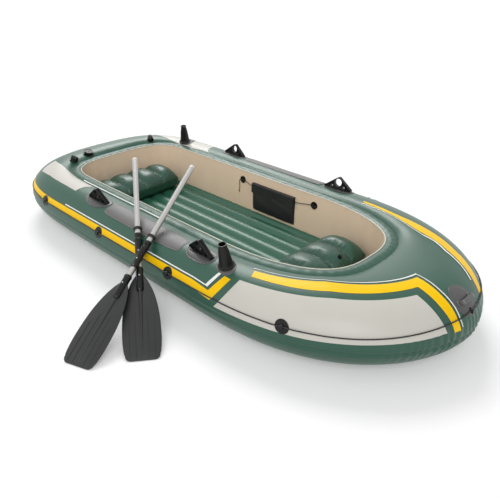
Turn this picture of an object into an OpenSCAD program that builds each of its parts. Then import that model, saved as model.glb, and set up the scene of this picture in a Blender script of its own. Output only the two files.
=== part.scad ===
// Inflatable rowing boat for three people, with two cushions, a pouch and two oars.
// Millimetres. X points to the bow, Y to port, Z up. The origin is on the ground under the hull's middle.

/* [Hull plan] */
// Length of the hull over its tubes
hull_len = 2950; // [2700:10:3200]
// Width of the hull over its tubes
beam = 1370; // [1250:10:1500]
// Width of a side tube from the outer wall to the cockpit
side_deck = 296; // [270:2:320]
// Width of the stern tube from the outer wall to the cockpit
stern_deck = 372; // [340:2:420]
// Width of the bow deck from the nose to the cockpit
bow_deck = 525; // [480:5:560]
// Length of the curved bow, from the nose to where the sides run straight
bow_len = 1125; // [1050:5:1200]
// Length of the curved stern, from its outer wall to where the sides run straight
stern_len = 827; // [760:1:880]
// Squareness of the outer bow curve, lengthwise and across
bow_curve = [2.81, 1.76];
// Squareness of the outer stern curve, lengthwise and across
stern_curve = [3.46, 2.58];
// Squareness of the cockpit's bow end, lengthwise and across
cockpit_bow_curve = [2.15, 3.0];
// Squareness of the cockpit's stern end, lengthwise and across
cockpit_stern_curve = [5.4, 3.2];

/* [Hull section] */
// Height of the perimeter seam above the ground
seam_h = 169; // [150:1:190]
// Rise of a side tube's crown above the seam
crown_rise = 147; // [130:1:165]
// Distance of a side tube's crown from the outer wall
crown_in = 170; // [150:1:180]
// Furthest distance of a crown from the outer wall
crown_in_max = 240; // [200:1:260]
// How far inside the outer wall the tube meets the bottom sheet
tube_foot_in = 205; // [185:1:215]
// Width of the raised inner rim
rim_w = 65; // [55:1:75]
// Height of the valley between the outer tube and the rim
valley_h = 296; // [280:1:305]
// Height of the top of the inner rim
rim_h = 327; // [318:1:340]
// Height of the cockpit's edge, where the rim turns into the wall
edge_h = 305; // [298:1:310]
// How far the inner wall bulges into the cockpit
wall_bulge = 6; // [2:0.5:10]
// Gap at the weld between neighbouring chambers
weld_gap = 0.3; // [0.2:0.1:0.5]

/* [Bottom and floor] */
// Thickness of the bottom sheet
sheet_t = 3; // [2:0.5:4]
// Height of the floor's ribs at their crests
floor_crest_h = 58; // [50:1:70]
// Depth of the valleys between ribs
floor_rib_depth = 26; // [18:1:34]
// Distance from one rib to the next
floor_rib_pitch = 97; // [90:1:110]

/* [Oarlocks] */
// Where the forward and the aft oarlock stand, along the hull
oarlock_x = [410, -490];
// Distance of the oarlocks from the outer wall
oarlock_in = 138; // [120:1:150]
// Length of an oarlock's foot
oarlock_len = 184; // [160:2:200]
// Height of an oarlock
oarlock_h = 74; // [66:1:84]
// Thickness of an oarlock across the hull
oarlock_t = 34; // [28:1:40]
// Diameter of the hole that the oar goes through
oarlock_bore_d = 46; // [40:1:50]
// Height of the middle of that hole above the foot
oarlock_bore_h = 42; // [38:1:46]

/* [Rod holders] */
// Distance of the starboard rod holder from the nose and of the port one from the stern, along the hull
rod_holder_end = [870, 469];
// Distance of the starboard and the port rod holder from the outer wall
rod_holder_in = [140, 196];
// Height of a rod holder above its patch
rod_holder_h = 122; // [100:1:150]
// Diameters of a rod holder at its base and at its top
rod_holder_d = [70, 42];
// Diameter of the rod holder's bore
rod_bore_d = 31; // [26:1:34]
// Thickness left under the bore
rod_holder_floor = 12; // [8:1:20]

/* [Patches] */
// Thickness of the welded reinforcement patches
patch_t = 2.5; // [1.5:0.5:4]
// Length and width of an oarlock patch
oarlock_patch = [216, 124];
// Diameter of a rod holder patch
rod_patch_d = 108; // [96:2:120]
// Where the rub pads start and end, along the hull
rub_pad_x = [268, -372];
// Distance of a rub pad's middle from the outer wall
rub_pad_in = 128; // [115:1:140]
// Width of a rub pad
rub_pad_w = 112; // [90:2:130]

/* [Bow] */
// Distance of the bow handle's middle from the nose, over the deck
handle_in = 62; // [54:1:72]
// Length and width of the bow patch, across and along the hull
bow_patch = [128, 168];
// Length of the handle
handle_len = 104; // [96:1:120]
// Width of the handle's strap
handle_w = 22; // [18:1:28]
// Thickness of the handle's strap
handle_t = 6; // [4:0.5:8]
// Height of the finger gap under the handle
handle_gap = 24; // [20:1:30]

/* [Stern fittings] */
// Distance of the motor mounts from the middle of the hull, along the stern's outer wall
motor_mount_y = 448; // [400:2:470]
// Distance of the motor mounts and the valve from the stern's outer wall
stern_fitting_in = 268; // [255:1:280]
// Diameter of a motor mount's eye
motor_eye_d = 22; // [18:1:26]
// Height of a motor mount's eye above its foot
motor_eye_h = 19; // [17:1:24]
// Length of a motor mount along its eye
motor_mount_len = 40; // [30:1:50]
// Distance of the main valve from the middle of the hull, along the stern's outer wall to starboard
valve_y = 228; // [190:2:270]
// Diameter of the main valve's flange
valve_flange_d = 78; // [70:1:90]
// Diameter of the main valve's screw seat
valve_seat_d = 52; // [46:1:56]
// Diameter of the main valve's air hole
valve_hole_d = 24; // [20:1:28]

/* [Grab line] */
// Diameter of the grab line
rope_d = 6; // [5:0.5:10]
// Height of the grab line round the hull
rope_h = 214; // [205:1:225]
// Where the rope holders sit along the straight part of each side
rope_holder_x = [277, -319];
// Distance of the first rope holder from the nose and of the last from the stern, along the hull
rope_holder_end = [532, 556];
// Where the stern rope holders sit, from the middle of the hull
rope_holder_stern_y = 330; // [280:5:360]
// Diameter of a rope holder
rope_holder_d = 64; // [54:1:70]
// Thickness of a rope holder's disc
rope_disc_t = 3.5; // [3:0.5:5]

/* [Pouch] */
// Where the pouch starts and ends, along the hull
pouch_x = [190, -155];
// Height of the pouch's lower edge
pouch_z = 64; // [62:1:80]
// Height of the pouch
pouch_h = 186; // [160:1:190]
// Thickness of the pouch
pouch_t = 16; // [14:1:24]
// Thickness of the pouch's fabric
pouch_wall = 2; // [1.5:0.5:3]
// How far the flap hangs over the front
pouch_flap_drop = 62; // [40:1:90]
// Where the pouch's cord holders sit, along the hull
pouch_holder_x = [331, -251];
// Height of the cord holders
pouch_holder_z = 243; // [230:1:255]
// Diameter of the cord holders
pouch_holder_d = 46; // [40:1:54]
// Diameter of the pouch's cord
pouch_cord_d = 4; // [3:0.5:5]

/* [Cushions] */
// Distance of the middle of the bow and the stern cushion from the cockpit's bow and stern end
cushion_in = [308, 178];
// Length of a cushion across the boat
cushion_len = 600; // [540:5:620]
// Depth of a cushion along the boat
cushion_depth = 286; // [240:2:300]
// Height of a cushion
cushion_h = 152; // [130:1:170]
// Number of lobes in a cushion
cushion_lobes = 4; // [3:1:5]
// Depth of the channels between lobes, as a part of the height
cushion_channel = 0.34; // [0.2:0.02:0.45]
// How far below its top a cushion's side seam runs, as a part of the height
cushion_seam = 0.56; // [0.5:0.01:0.62]

/* [Oars] */
// Length of an oar
oar_len = 1220; // [1150:5:1300]
// Diameter of the oar's aluminium shaft
shaft_d = 29; // [26:0.5:32]
// Wall of the oar's shaft
shaft_wall = 1.6; // [1.2:0.1:2.5]
// Clearance in radius of what slides on or in a shaft
slide_fit = 0.3; // [0.2:0.05:0.4]
// Distance of the coupling sleeve's lower end from the blade's tip
sleeve_z = 530; // [500:2:560]
// Length of the coupling sleeve
sleeve_len = 160; // [140:2:180]
// Wall of the coupling sleeve
sleeve_wall = 2.6; // [2:0.1:3.5]
// Distance of the drip ring from the blade's tip
drip_ring_z = 722; // [710:1:735]
// Outer diameter of the drip ring
drip_ring_d = 46; // [42:1:52]
// Lower and upper end of the blade's socket, from the tip
socket_z = [360, 482];
// Wall of the blade's socket
socket_wall = 3.4; // [2.5:0.1:4.5]
// Greatest width of the blade
blade_w = 176; // [160:1:190]
// Width of the blade at its tip
blade_tip_w = 150; // [130:1:160]
// Thickness of the blade
blade_t = 5; // [4:0.5:6]
// Height of the blade's ribs above its face
blade_rib_h = 1.6; // [1:0.1:2.5]
// Diameter of a snap button
button_d = 8; // [7:0.5:9]
// How far a snap button stands out of its socket
button_out = 2.2; // [1.5:0.1:3]
// Where the blade tip of the oar that lies underneath rests
lower_oar_tip = [493, -1003];
// Direction in which that oar points on the ground
lower_oar_turn = 143.5; // [140:0.5:147]
// Where the blade tip of the oar that lies on top rests
upper_oar_tip = [319, -1228];
// Direction in which that oar points on the ground
upper_oar_turn = 110.7; // [108:0.1:113]

/* [Hidden] */

// Clearance between a fitting and what it sits on
seat_gap = 0.3;
// Overlap that makes a cut go right through
cut = 1;
// Facets of round parts
$fn = 48;

// ---- Hull surface -------------------------------------------------------------------------------
// The hull is measured by stations round the plan (0 at the nose, 90 to port, 180 at the stern)
// and by levels round the section (0 at the foot, 1 at the seam, 2 at the crown, 3 in the valley).
stations = 72;
station_step = 360 / stations;
// Samples of the section for each level
level_n = 6;
// Station at which the bow curve ends, and the one at which the stern curve starts
bow_end = 75;
stern_begin = 105;
// How far the cockpit's stations are drawn towards the nose
nose_pull = 18;
half_beam = beam / 2;
half_len = hull_len / 2;
// Where the sides start to curve in towards the bow and towards the stern
bow_start = half_len - bow_len;
stern_start = stern_len - half_len;
cockpit_half = half_beam - side_deck;

function power(base, exponent) = sign(base) * pow(abs(base), exponent);
function blend(p, q, t) = p * (1 - t) + q * t;
function fold(a) = let (m = a - 360 * floor(a / 360)) m <= 180 ? m : 360 - m;
function side_of(a) = a - 360 * floor(a / 360) <= 180 ? 1 : -1;
function quarter(t, x0, reach, half, curve) =
    [x0 + reach * power(cos(t), 2 / curve.x), half * power(sin(t), 2 / curve.y)];

// A point of a plan outline at station angle m, from 0 to 180
function outline(m, bow_reach, stern_reach, half, bow, stern, pull) =
    m <= bow_end ? let (t = m * 90 / bow_end) quarter(t - pull * sin(2 * t), bow_start, bow_reach, half, bow)
    : m < stern_begin ? [blend(bow_start, stern_start, (m - bow_end) / (stern_begin - bow_end)), half]
    : quarter((180 - m) * 90 / bow_end, stern_start, -stern_reach, half, stern);

function outer_plan(a) =
    let (p = outline(fold(a), half_len - bow_start, half_len + stern_start, half_beam, bow_curve, stern_curve, 0))
    [p.x, p.y * side_of(a)];
function cockpit_plan(a) =
    let (p = outline(fold(a), half_len - bow_deck - bow_start, half_len + stern_start - stern_deck, cockpit_half,
        cockpit_bow_curve, cockpit_stern_curve, nose_pull))
    [p.x, p.y * side_of(a)];
function deck_w(a) = norm(cockpit_plan(a) - outer_plan(a));
function inwards(a) = (cockpit_plan(a) - outer_plan(a)) / deck_w(a);

// The section of the outer tube on a deck of width w, as [distance from the outer wall, height]
function valley_in(w) = w - rim_w;
function crown_at(w) = min(valley_in(w) * crown_in / valley_in(side_deck), crown_in_max);
// Wider tubes stand a little taller
crown_gain = 0.286;
function crown_up(w) = crown_rise + (crown_at(w) - crown_in) * crown_gain;
function tube(level, w) =
    level <= 1 ? [tube_foot_in * (1 - cos(90 * (1 - level))), seam_h - (seam_h - sheet_t) * sin(90 * (1 - level))]
    : level <= 2 ? [crown_at(w) * (1 - cos(90 * (level - 1))), seam_h + crown_up(w) * sin(90 * (level - 1))]
    : [blend(crown_at(w), valley_in(w), sin(90 * (level - 2))),
        blend(valley_h, seam_h + crown_up(w), cos(90 * (level - 2)))];
// Outward normal of that section
sliver = 0.02;
function tube_normal(level, w) =
    let (l = max(sliver, min(3 - sliver, level)), d = tube(l + sliver, w) - tube(l - sliver, w)) [-d.y, d.x] / norm(d);

// A sample of the tube's surface, k stations round and j section samples up, lifted off by a distance
function sample(k, j, lift) =
    let (a = k * station_step, w = deck_w(a), p = tube(j / level_n, w) + lift * tube_normal(j / level_n, w),
        q = outer_plan(a) + inwards(a) * p.x)
    [q.x, q.y, p.y];
// Any point of the faceted surface
function tube_point(a, level, lift) =
    let (k = floor(a / station_step), f = a / station_step - k, j = floor(level * level_n), g = level * level_n - j)
    blend(blend(sample(k, j, lift), sample(k + 1, j, lift), f),
        blend(sample(k, j + 1, lift), sample(k + 1, j + 1, lift), f), g);
function normal_at(a, level) =
    let (n = cross(tube_point(a + 1, level, 0) - tube_point(a - 1, level, 0),
        tube_point(a, level + 0.05, 0) - tube_point(a, level - 0.05, 0))) n / norm(n);

// The station abreast of a place along the hull, the one abreast of a place across its stern,
// and the level at a distance from the outer wall or at a height below the crown
function station_of_x(x) =
    x > bow_start ? acos(pow((x - bow_start) / (half_len - bow_start), bow_curve.x / 2)) * bow_end / 90
    : x > stern_start ? blend(bow_end, stern_begin, (bow_start - x) / (bow_start - stern_start))
    : 180 - acos(pow((stern_start - x) / (half_len + stern_start), stern_curve.x / 2)) * bow_end / 90;
function station_of_y(y) = 180 - asin(pow(y / half_beam, stern_curve.y / 2)) * bow_end / 90;
function level_of_in(inset, w) =
    inset <= crown_at(w) ? 1 + acos(1 - inset / crown_at(w)) / 90
    : 2 + asin((inset - crown_at(w)) / (valley_in(w) - crown_at(w))) / 90;
function level_of_h(h, w) = 1 + asin((h - seam_h) / crown_up(w)) / 90;

// Faces of a closed slab between two grids of rows x cols points
function at(i, j, cols) = i * cols + j;
function slab_faces(rows, cols) = let (m = rows * cols) concat(
    [for (i = [0 : rows - 2], j = [0 : cols - 2]) [at(i, j, cols), at(i + 1, j, cols), at(i + 1, j + 1, cols)]],
    [for (i = [0 : rows - 2], j = [0 : cols - 2]) [at(i, j, cols), at(i + 1, j + 1, cols), at(i, j + 1, cols)]],
    [for (i = [0 : rows - 2], j = [0 : cols - 2])
        [m + at(i, j, cols), m + at(i + 1, j + 1, cols), m + at(i + 1, j, cols)]],
    [for (i = [0 : rows - 2], j = [0 : cols - 2])
        [m + at(i, j, cols), m + at(i, j + 1, cols), m + at(i + 1, j + 1, cols)]],
    [for (i = [0 : rows - 2]) [at(i + 1, 0, cols), at(i, 0, cols), m + at(i, 0, cols)]],
    [for (i = [0 : rows - 2]) [at(i + 1, 0, cols), m + at(i, 0, cols), m + at(i + 1, 0, cols)]],
    [for (i = [0 : rows - 2]) [at(i, cols - 1, cols), at(i + 1, cols - 1, cols), m + at(i + 1, cols - 1, cols)]],
    [for (i = [0 : rows - 2]) [at(i, cols - 1, cols), m + at(i + 1, cols - 1, cols), m + at(i, cols - 1, cols)]],
    [for (j = [0 : cols - 2]) [at(0, j, cols), at(0, j + 1, cols), m + at(0, j + 1, cols)]],
    [for (j = [0 : cols - 2]) [at(0, j, cols), m + at(0, j + 1, cols), m + at(0, j, cols)]],
    [for (j = [0 : cols - 2]) [at(rows - 1, j + 1, cols), at(rows - 1, j, cols), m + at(rows - 1, j, cols)]],
    [for (j = [0 : cols - 2])
        [at(rows - 1, j + 1, cols), m + at(rows - 1, j, cols), m + at(rows - 1, j + 1, cols)]]);

// Faces of a ring of rows closed loops, each of cols points
function ring_faces(rows, cols) = [for (i = [0 : rows - 1], j = [0 : cols - 1])
    let (i1 = (i + 1) % rows, j1 = (j + 1) % cols)
    each [[at(i, j, cols), at(i1, j1, cols), at(i1, j, cols)], [at(i, j, cols), at(i, j1, cols), at(i1, j1, cols)]]];

// A skin that follows the tube between two lifts, over a span of stations and levels
module skin(a_span, level_span, from, to) {
    k = [floor(a_span[0] / station_step), ceil(a_span[1] / station_step)];
    j = [floor(level_span[0] * level_n), ceil(level_span[1] * level_n)];
    points = [for (lift = [from, to], kk = [k[0] : k[1]], jj = [j[0] : j[1]]) sample(kk, jj, lift)];
    polyhedron(points, slab_faces(k[1] - k[0] + 1, j[1] - j[0] + 1));
}

// Stands its children on the tube, their Z along the normal and their X down the slope
module seat(a, level, lift) {
    n = normal_at(a, level);
    translate(tube_point(a, level, 0) + n * lift)
        rotate([0, acos(n.z), atan2(n.y, n.x)])
            children();
}

// A patch of the skin, cut out by the outline that is given as a child
module patch(a, level, from, to, span) {
    reach = 60;
    resize([0, 0, 0]) intersection() {
        skin([a - span.x, a + span.x], [max(0.4, level - span.y), min(2.9, level + span.y)], from, to);
        seat(a, level, -reach) linear_extrude(2 * reach) children();
    }
}

// A closed ring of the hull with a section that depends on the deck's width
module hull_ring(points_of) {
    points = [for (k = [0 : stations - 1]) let (a = k * station_step)
        each [for (p = points_of(deck_w(a))) let (q = outer_plan(a) + inwards(a) * p.x) [q.x, q.y, p.y]]];
    polyhedron(points, ring_faces(stations, len(points) / stations));
}

// ---- Chambers -----------------------------------------------------------------------------------
outer_section = function (w) concat(
    [for (j = [0 : 3 * level_n]) tube(j / level_n, w)],
    [[valley_in(w), sheet_t]]);

rim_n = 6;
wall_n = 5;
inner_section = function (w) let (in0 = valley_in(w) + weld_gap, mid = (in0 + w) / 2, half = (w - in0) / 2) concat(
    [[in0, sheet_t]],
    [for (j = [0 : rim_n]) let (t = 180 * j / rim_n)
        [mid - half * cos(t), blend(t < 90 ? valley_h : edge_h, rim_h, sin(t))]],
    [for (j = [1 : wall_n]) let (t = j / wall_n)
        [w + wall_bulge * sin(180 * t), blend(edge_h, sheet_t, t)]]);

module bottom_sheet() {
    color("#3f5a50") linear_extrude(sheet_t) polygon([for (k = [0 : stations - 1])
        outer_plan(k * station_step) + inwards(k * station_step) * tube_foot_in]);
}

module outer_chamber() {
    color("#4a6a5c") hull_ring(outer_section);
}

module inner_chamber() {
    color("#b9a48d") hull_ring(inner_section);
}

// The floor's ribs run lengthwise, with a crest on the middle line
rib_steps = 6;
floor_rib_curve = 2.2;
function rib_h(s) = floor_crest_h - floor_rib_depth * pow(abs(s), floor_rib_curve);
module floor_chamber() {
    ribs = ceil(cockpit_half / floor_rib_pitch + 0.5);
    section = concat(
        [for (r = [-ribs : ribs], s = [1 - rib_steps : 2 : rib_steps - 1])
            [(r + s / rib_steps / 2) * floor_rib_pitch, rib_h(s / rib_steps)]],
        [[(ribs + 0.5) * floor_rib_pitch, sheet_t], [(-ribs - 0.5) * floor_rib_pitch, sheet_t]]);
    color("#4f7a68") resize([0, 0, 0]) intersection() {
        rotate([90, 0, 90]) translate([0, 0, -half_len]) linear_extrude(hull_len) polygon(section);
        linear_extrude(floor_crest_h + cut) polygon([for (k = [0 : stations - 1])
            cockpit_plan(k * station_step) + inwards(k * station_step) * (wall_bulge + seat_gap)]);
    }
}

// ---- Patches and rub pads -----------------------------------------------------------------------
function port(side) = side > 0;
function turn(side, a) = port(side) ? a : 360 - a;
module oval(size) {
    scale([size.x / 100, size.y / 100]) circle(d = 100, $fn = 32);
}

oarlock_lift = patch_t + seat_gap;
function oarlock_station(i) = station_of_x(oarlock_x[i]);
oarlock_level = level_of_in(oarlock_in, side_deck);
module oarlock_patch(i, side) {
    color("#6f6d6d") patch(turn(side, oarlock_station(i)), oarlock_level, seat_gap, patch_t, [6, 0.6])
        oval([oarlock_patch.y, oarlock_patch.x]);
}

module rub_pad(side) {
    end_r = rub_pad_w / 3;
    middle = station_of_x((rub_pad_x[0] + rub_pad_x[1]) / 2);
    reach = max([for (x = rub_pad_x) abs(station_of_x(x) - middle)]) + station_step;
    color("#6f6d6d")
        patch(turn(side, middle), level_of_in(rub_pad_in, side_deck), seat_gap, patch_t, [reach, 0.75])
            offset(end_r, $fn = 24) square([rub_pad_w, rub_pad_x[0] - rub_pad_x[1]] - 2 * [end_r, end_r], center = true);
}

rod_lift = patch_t + seat_gap;
function rod_station(side) =
    station_of_x(port(side) ? rod_holder_end[1] - half_len : half_len - rod_holder_end[0]);
function rod_level(side) = level_of_in(rod_holder_in[port(side) ? 1 : 0], deck_w(rod_station(side)));
module rod_holder_patch(side) {
    color("#6f6d6d") patch(turn(side, rod_station(side)), rod_level(side), seat_gap, patch_t, [7, 0.5])
        circle(d = rod_patch_d, $fn = 32);
}

// ---- Oarlocks -----------------------------------------------------------------------------------
foot_t = 4;
foot_margin = 5;
oarlock_small_bore_d = 15;
oarlock_top_r = 12;
oarlock_toe_r = 5;
// An upright triangular horn with one large and two small holes across it, on a foot that fits the tube
module oarlock(i, side) {
    a = turn(side, oarlock_station(i));
    small_x = oarlock_bore_d / 2 + oarlock_small_bore_d;
    color("#1c1c1c") {
        patch(a, oarlock_level, oarlock_lift, oarlock_lift + foot_t, [5, 0.4])
            offset(2 * foot_margin, $fn = 24)
                square([oarlock_t, oarlock_len - 2 * foot_margin] - 2 * foot_margin * [1, 1], center = true);
        seat(a, oarlock_level, oarlock_lift + foot_t / 2) rotate([90, 0, 90])
            translate([0, 0, -oarlock_t / 2 + foot_margin]) difference() {
                linear_extrude(oarlock_t - 2 * foot_margin) hull() {
                    for (s = [-1, 1]) translate([s * (oarlock_len / 2 - foot_margin - oarlock_toe_r), 0])
                        intersection() {
                            circle(oarlock_toe_r);
                            translate([-oarlock_toe_r, 0]) square(2 * oarlock_toe_r);
                        }
                    translate([0, oarlock_h - foot_t / 2 - oarlock_top_r]) circle(oarlock_top_r);
                }
                translate([0, oarlock_bore_h - foot_t / 2, -cut]) cylinder(h = oarlock_t, d = oarlock_bore_d);
                for (s = [-1, 1]) translate([s * small_x, oarlock_small_bore_d, -cut])
                    cylinder(h = oarlock_t, d = oarlock_small_bore_d);
            }
    }
}

// ---- Rod holders --------------------------------------------------------------------------------
rod_foot_t = 5;
rod_foot_margin = 6;
rod_lip = 3;
// A hollow cone with a rolled lip, on a round foot that fits the tube
module rod_holder(side) {
    a = turn(side, rod_station(side));
    r0 = rod_holder_d[0] / 2;
    r1 = rod_holder_d[1] / 2;
    color("#232323") {
        patch(a, rod_level(side), rod_lift, rod_lift + rod_foot_t, [5, 0.4])
            circle(r0 + rod_foot_margin, $fn = 32);
        seat(a, rod_level(side), rod_lift + rod_foot_t / 2) rotate_extrude() polygon([
            [0, 0], [r0, 0], [r0 - rod_lip, rod_foot_t], [r1 - rod_lip, rod_holder_h - 2 * rod_lip],
            [r1, rod_holder_h - rod_lip], [r1, rod_holder_h], [rod_bore_d / 2, rod_holder_h],
            [rod_bore_d / 2, rod_holder_floor], [0, rod_holder_floor]]);
    }
}

// ---- Bow ----------------------------------------------------------------------------------------
bow_w = deck_w(0);
handle_level = level_of_in(handle_in, bow_w);
bow_lift = patch_t + seat_gap;
bow_patch_level = 1.47;
module bow_patch() {
    color("#6f6d6d") patch(0, bow_patch_level, seat_gap, patch_t, [15, 0.8]) oval([bow_patch.y, bow_patch.x]);
}

handle_pad = 26;
// How far the hull falls away under a foot
foot_drop = 2;
// A strap that arches over a finger gap between two feet
module bow_handle() {
    ramp = 14;
    inner = handle_len / 2 - handle_pad;
    color("#2a2a2a") {
        for (s = [-1, 1]) patch(0, handle_level, bow_lift, bow_lift + foot_t, [15, 0.5])
            translate([0, s * (handle_len - handle_pad) / 2]) oval([handle_w + foot_margin, handle_pad]);
        seat(0, handle_level, bow_lift) rotate([90, 0, 90]) translate([0, 0, -handle_w / 2])
            linear_extrude(handle_w) polygon([
                [-inner - ramp - handle_t, foot_drop], [-inner - ramp, handle_gap + handle_t - foot_drop],
                [-inner, handle_gap + handle_t], [inner, handle_gap + handle_t],
                [inner + ramp, handle_gap + handle_t - foot_drop], [inner + ramp + handle_t, foot_drop],
                [inner + ramp, foot_drop], [inner + ramp - handle_t, handle_gap - foot_drop], [inner, handle_gap],
                [-inner, handle_gap], [-inner - ramp + handle_t, handle_gap - foot_drop],
                [-inner - ramp, foot_drop]]);
    }
}
// ---- Rope holders and grab line -----------------------------------------------------------------
rope_lift = rope_disc_t + rope_d / 2 + 2 * seat_gap;
rope_hole_d = rope_d + 1;
holder_cheek = 4;
function rope_level(a) = level_of_h(rope_h + bow_rise * pow(max(0, cos(a)), bow_rise_curve), deck_w(a));
// The rope climbs towards the nose
bow_rise = 32;
bow_rise_curve = 6;

// A disc with a bridge that the rope runs through
module rope_holder(a) {
    level = rope_level(a);
    color("#1c1c1c") {
        patch(a, level, seat_gap, rope_disc_t, [5, 0.35]) circle(d = rope_holder_d, $fn = 24);
        rope_bridge(a, level, rope_disc_t - foot_drop);
    }
}

module rope_bridge(a, level, base) {
    top = rope_lift + rope_hole_d / 2 + holder_cheek - base;
    r = rope_hole_d / 2 + holder_cheek;
    seat(a, level, base) difference() {
        translate([-r, -r, 0]) cube([2 * r, 2 * r, top]);
        translate([0, 0, rope_lift - base]) rotate([90, 0, 0])
            cylinder(h = 2 * r + 2 * cut, d = rope_hole_d, center = true);
    }
}

function holder_stations() = concat(
    [for (x = concat(half_len - rope_holder_end[0], rope_holder_x, rope_holder_end[1] - half_len)) station_of_x(x)],
    [station_of_y(rope_holder_stern_y)]);
module rope_holders(side) {
    for (a = holder_stations()) rope_holder(turn(side, a));
}

module bow_rope_lug() {
    color("#1c1c1c") rope_bridge(0, rope_level(0), bow_lift);
}

rope_sides = 8;
// The line runs all round the hull, through every holder and through the lug at the nose
module grab_line() {
    points = [for (k = [0 : stations - 1])
        let (a = k * station_step, level = rope_level(a), c = tube_point(a, level, 0) + normal_at(a, level) * rope_lift,
            n = normal_at(a, level), b = cross(n, rope_run(a)))
        for (s = [0 : rope_sides - 1]) let (t = s * 360 / rope_sides)
            c + rope_d / 2 * (n * cos(t) + b * sin(t))];
    color("#151515") polyhedron(points, ring_faces(stations, rope_sides));
}
function rope_run(a) = let (d = tube_point(a + station_step, rope_level(a + station_step), 0)
    - tube_point(a - station_step, rope_level(a - station_step), 0)) d / norm(d);

// ---- Stern fittings -----------------------------------------------------------------------------
eye_wall = 5;
mount_foot_margin = 8;
// An eye on a waisted foot, for the bar of a motor bracket
module motor_mount(side) {
    a = turn(side, station_of_y(motor_mount_y));
    level = level_of_in(stern_fitting_in, deck_w(a));
    r = motor_eye_d / 2 + eye_wall;
    color("#1c1c1c") {
        patch(a, level, seat_gap, foot_t, [5, 0.5]) oval([motor_mount_len + 2 * mount_foot_margin, 3 * r]);
        seat(a, level, foot_t / 2) rotate([90, 0, 90]) translate([0, 0, -motor_mount_len / 2]) difference() {
            linear_extrude(motor_mount_len) union() {
                translate([0, motor_eye_h]) circle(r);
                polygon([[-1.2 * r, 0], [1.2 * r, 0], [r, motor_eye_h], [-r, motor_eye_h]]);
            }
            translate([0, motor_eye_h, -cut]) cylinder(h = motor_mount_len + 2 * cut, d = motor_eye_d);
        }
    }
}

valve_station = station_of_y(valve_y);
valve_level = level_of_in(stern_fitting_in, deck_w(valve_station));
valve_collar_wall = 4;
valve_collar_h = 13;
valve_cap_t = 4;
valve_cap_rim = 3;
valve_tab = 12;
valve_hinge_x = valve_seat_d / 2 + valve_collar_wall + 2;
// Fits its children on the stern tube where the main valve sits
module on_valve() {
    seat(turn(-1, valve_station), valve_level, foot_t / 2) children();
}

module valve_base() {
    r = valve_seat_d / 2;
    color("#1c1c1c") {
        patch(turn(-1, valve_station), valve_level, seat_gap, foot_t, [5, 0.5])
            circle(d = valve_flange_d, $fn = 32);
        on_valve() difference() {
            union() {
                cylinder(h = valve_collar_h, r = r + valve_collar_wall);
                translate([-valve_hinge_x - eye_wall, -valve_tab / 2, 0])
                    cube([2 * eye_wall, valve_tab, valve_collar_h]);
            }
            translate([0, 0, foot_t]) cylinder(h = valve_collar_h, r = r);
        }
    }
}

module valve_insert() {
    color("#2a2a2a") on_valve() translate([0, 0, foot_t]) difference() {
        cylinder(h = valve_collar_h - foot_t, r = valve_seat_d / 2 - slide_fit);
        translate([0, 0, foot_t]) cylinder(h = valve_collar_h, d = valve_hole_d);
    }
}

// The cap swings on a strap beside the collar, and its plug closes the air hole
module valve_cap() {
    plug_h = 5;
    color("#1c1c1c") on_valve() translate([0, 0, valve_collar_h + seat_gap]) {
        difference() {
            union() {
                cylinder(h = valve_cap_t, r = valve_seat_d / 2);
                translate([-valve_hinge_x, -valve_tab / 2, 0]) cube([valve_hinge_x, valve_tab, valve_cap_t / 2]);
            }
            translate([0, 0, valve_cap_t / 2])
                cylinder(h = valve_cap_t, r = valve_seat_d / 2 - valve_cap_rim);
        }
        translate([0, 0, -plug_h]) cylinder(h = plug_h + valve_cap_t / 2, d1 = valve_hole_d - 5, d2 = valve_hole_d - 1);
        translate([0, 0, valve_cap_t / 2]) difference() {
            cylinder(h = valve_cap_t / 2, r = valve_cap_rim);
            translate([0, 0, cut]) cylinder(h = valve_cap_t, r = valve_cap_rim / 2);
        }
    }
}

// ---- Small valves of the floor and the cushions -------------------------------------------------
stem_foot_d = 26;
stem_foot_t = 2;
stem_d = 14;
stem_h = 9;
stem_bore_d = 8;
stem_hinge_x = 10;
plug_d = 16;
plug_t = 2.5;
module valve_stem() {
    difference() {
        union() {
            cylinder(h = stem_foot_t, d = stem_foot_d);
            cylinder(h = stem_h, d = stem_d);
            translate([-stem_hinge_x - 1, -plug_t, 0]) cube([stem_hinge_x, 2 * plug_t, stem_h - plug_t]);
        }
        translate([0, 0, stem_foot_t]) cylinder(h = stem_h, d = stem_bore_d);
    }
}

module valve_plug() {
    translate([0, 0, stem_h + seat_gap]) {
        cylinder(h = plug_t, d = plug_d);
        translate([0, 0, -stem_h / 2]) cylinder(h = stem_h / 2, d1 = stem_bore_d - 3, d2 = stem_bore_d - 1);
        translate([-stem_hinge_x - 1, -plug_t, 0]) cube([stem_hinge_x, 2 * plug_t, plug_t / 2]);
    }
}

// Distance of the floor's valve from the cockpit's stern end, and the rib whose crest it stands on
floor_valve_in = 413;
floor_valve_x = stern_deck + floor_valve_in - half_len;
floor_valve_rib = -3;
module on_floor_rib() {
    translate([floor_valve_x, floor_valve_rib * floor_rib_pitch, floor_crest_h + seat_gap]) children();
}

module floor_valve_base() {
    color("#2a2a2a") on_floor_rib() valve_stem();
}

module floor_valve_plug() {
    color("#1c1c1c") on_floor_rib() valve_plug();
}

// ---- Pouch --------------------------------------------------------------------------------------
// How far the faceted inner wall stands out from the cockpit's edge at a height, and its slope
function wall_step(h) = (edge_h - h) * wall_n / (edge_h - sheet_t);
function bulge_at(j) = wall_bulge * sin(180 * j / wall_n);
function wall_out(h) = let (t = wall_step(h), j = floor(t)) blend(bulge_at(j), bulge_at(j + 1), t - j);
function wall_lean(h) = let (j = floor(wall_step(h)))
    atan((bulge_at(j + 1) - bulge_at(j)) * wall_n / (edge_h - sheet_t));
pouch_back = cockpit_half - wall_bulge - seat_gap;
pouch_top = pouch_z + pouch_h;

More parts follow.
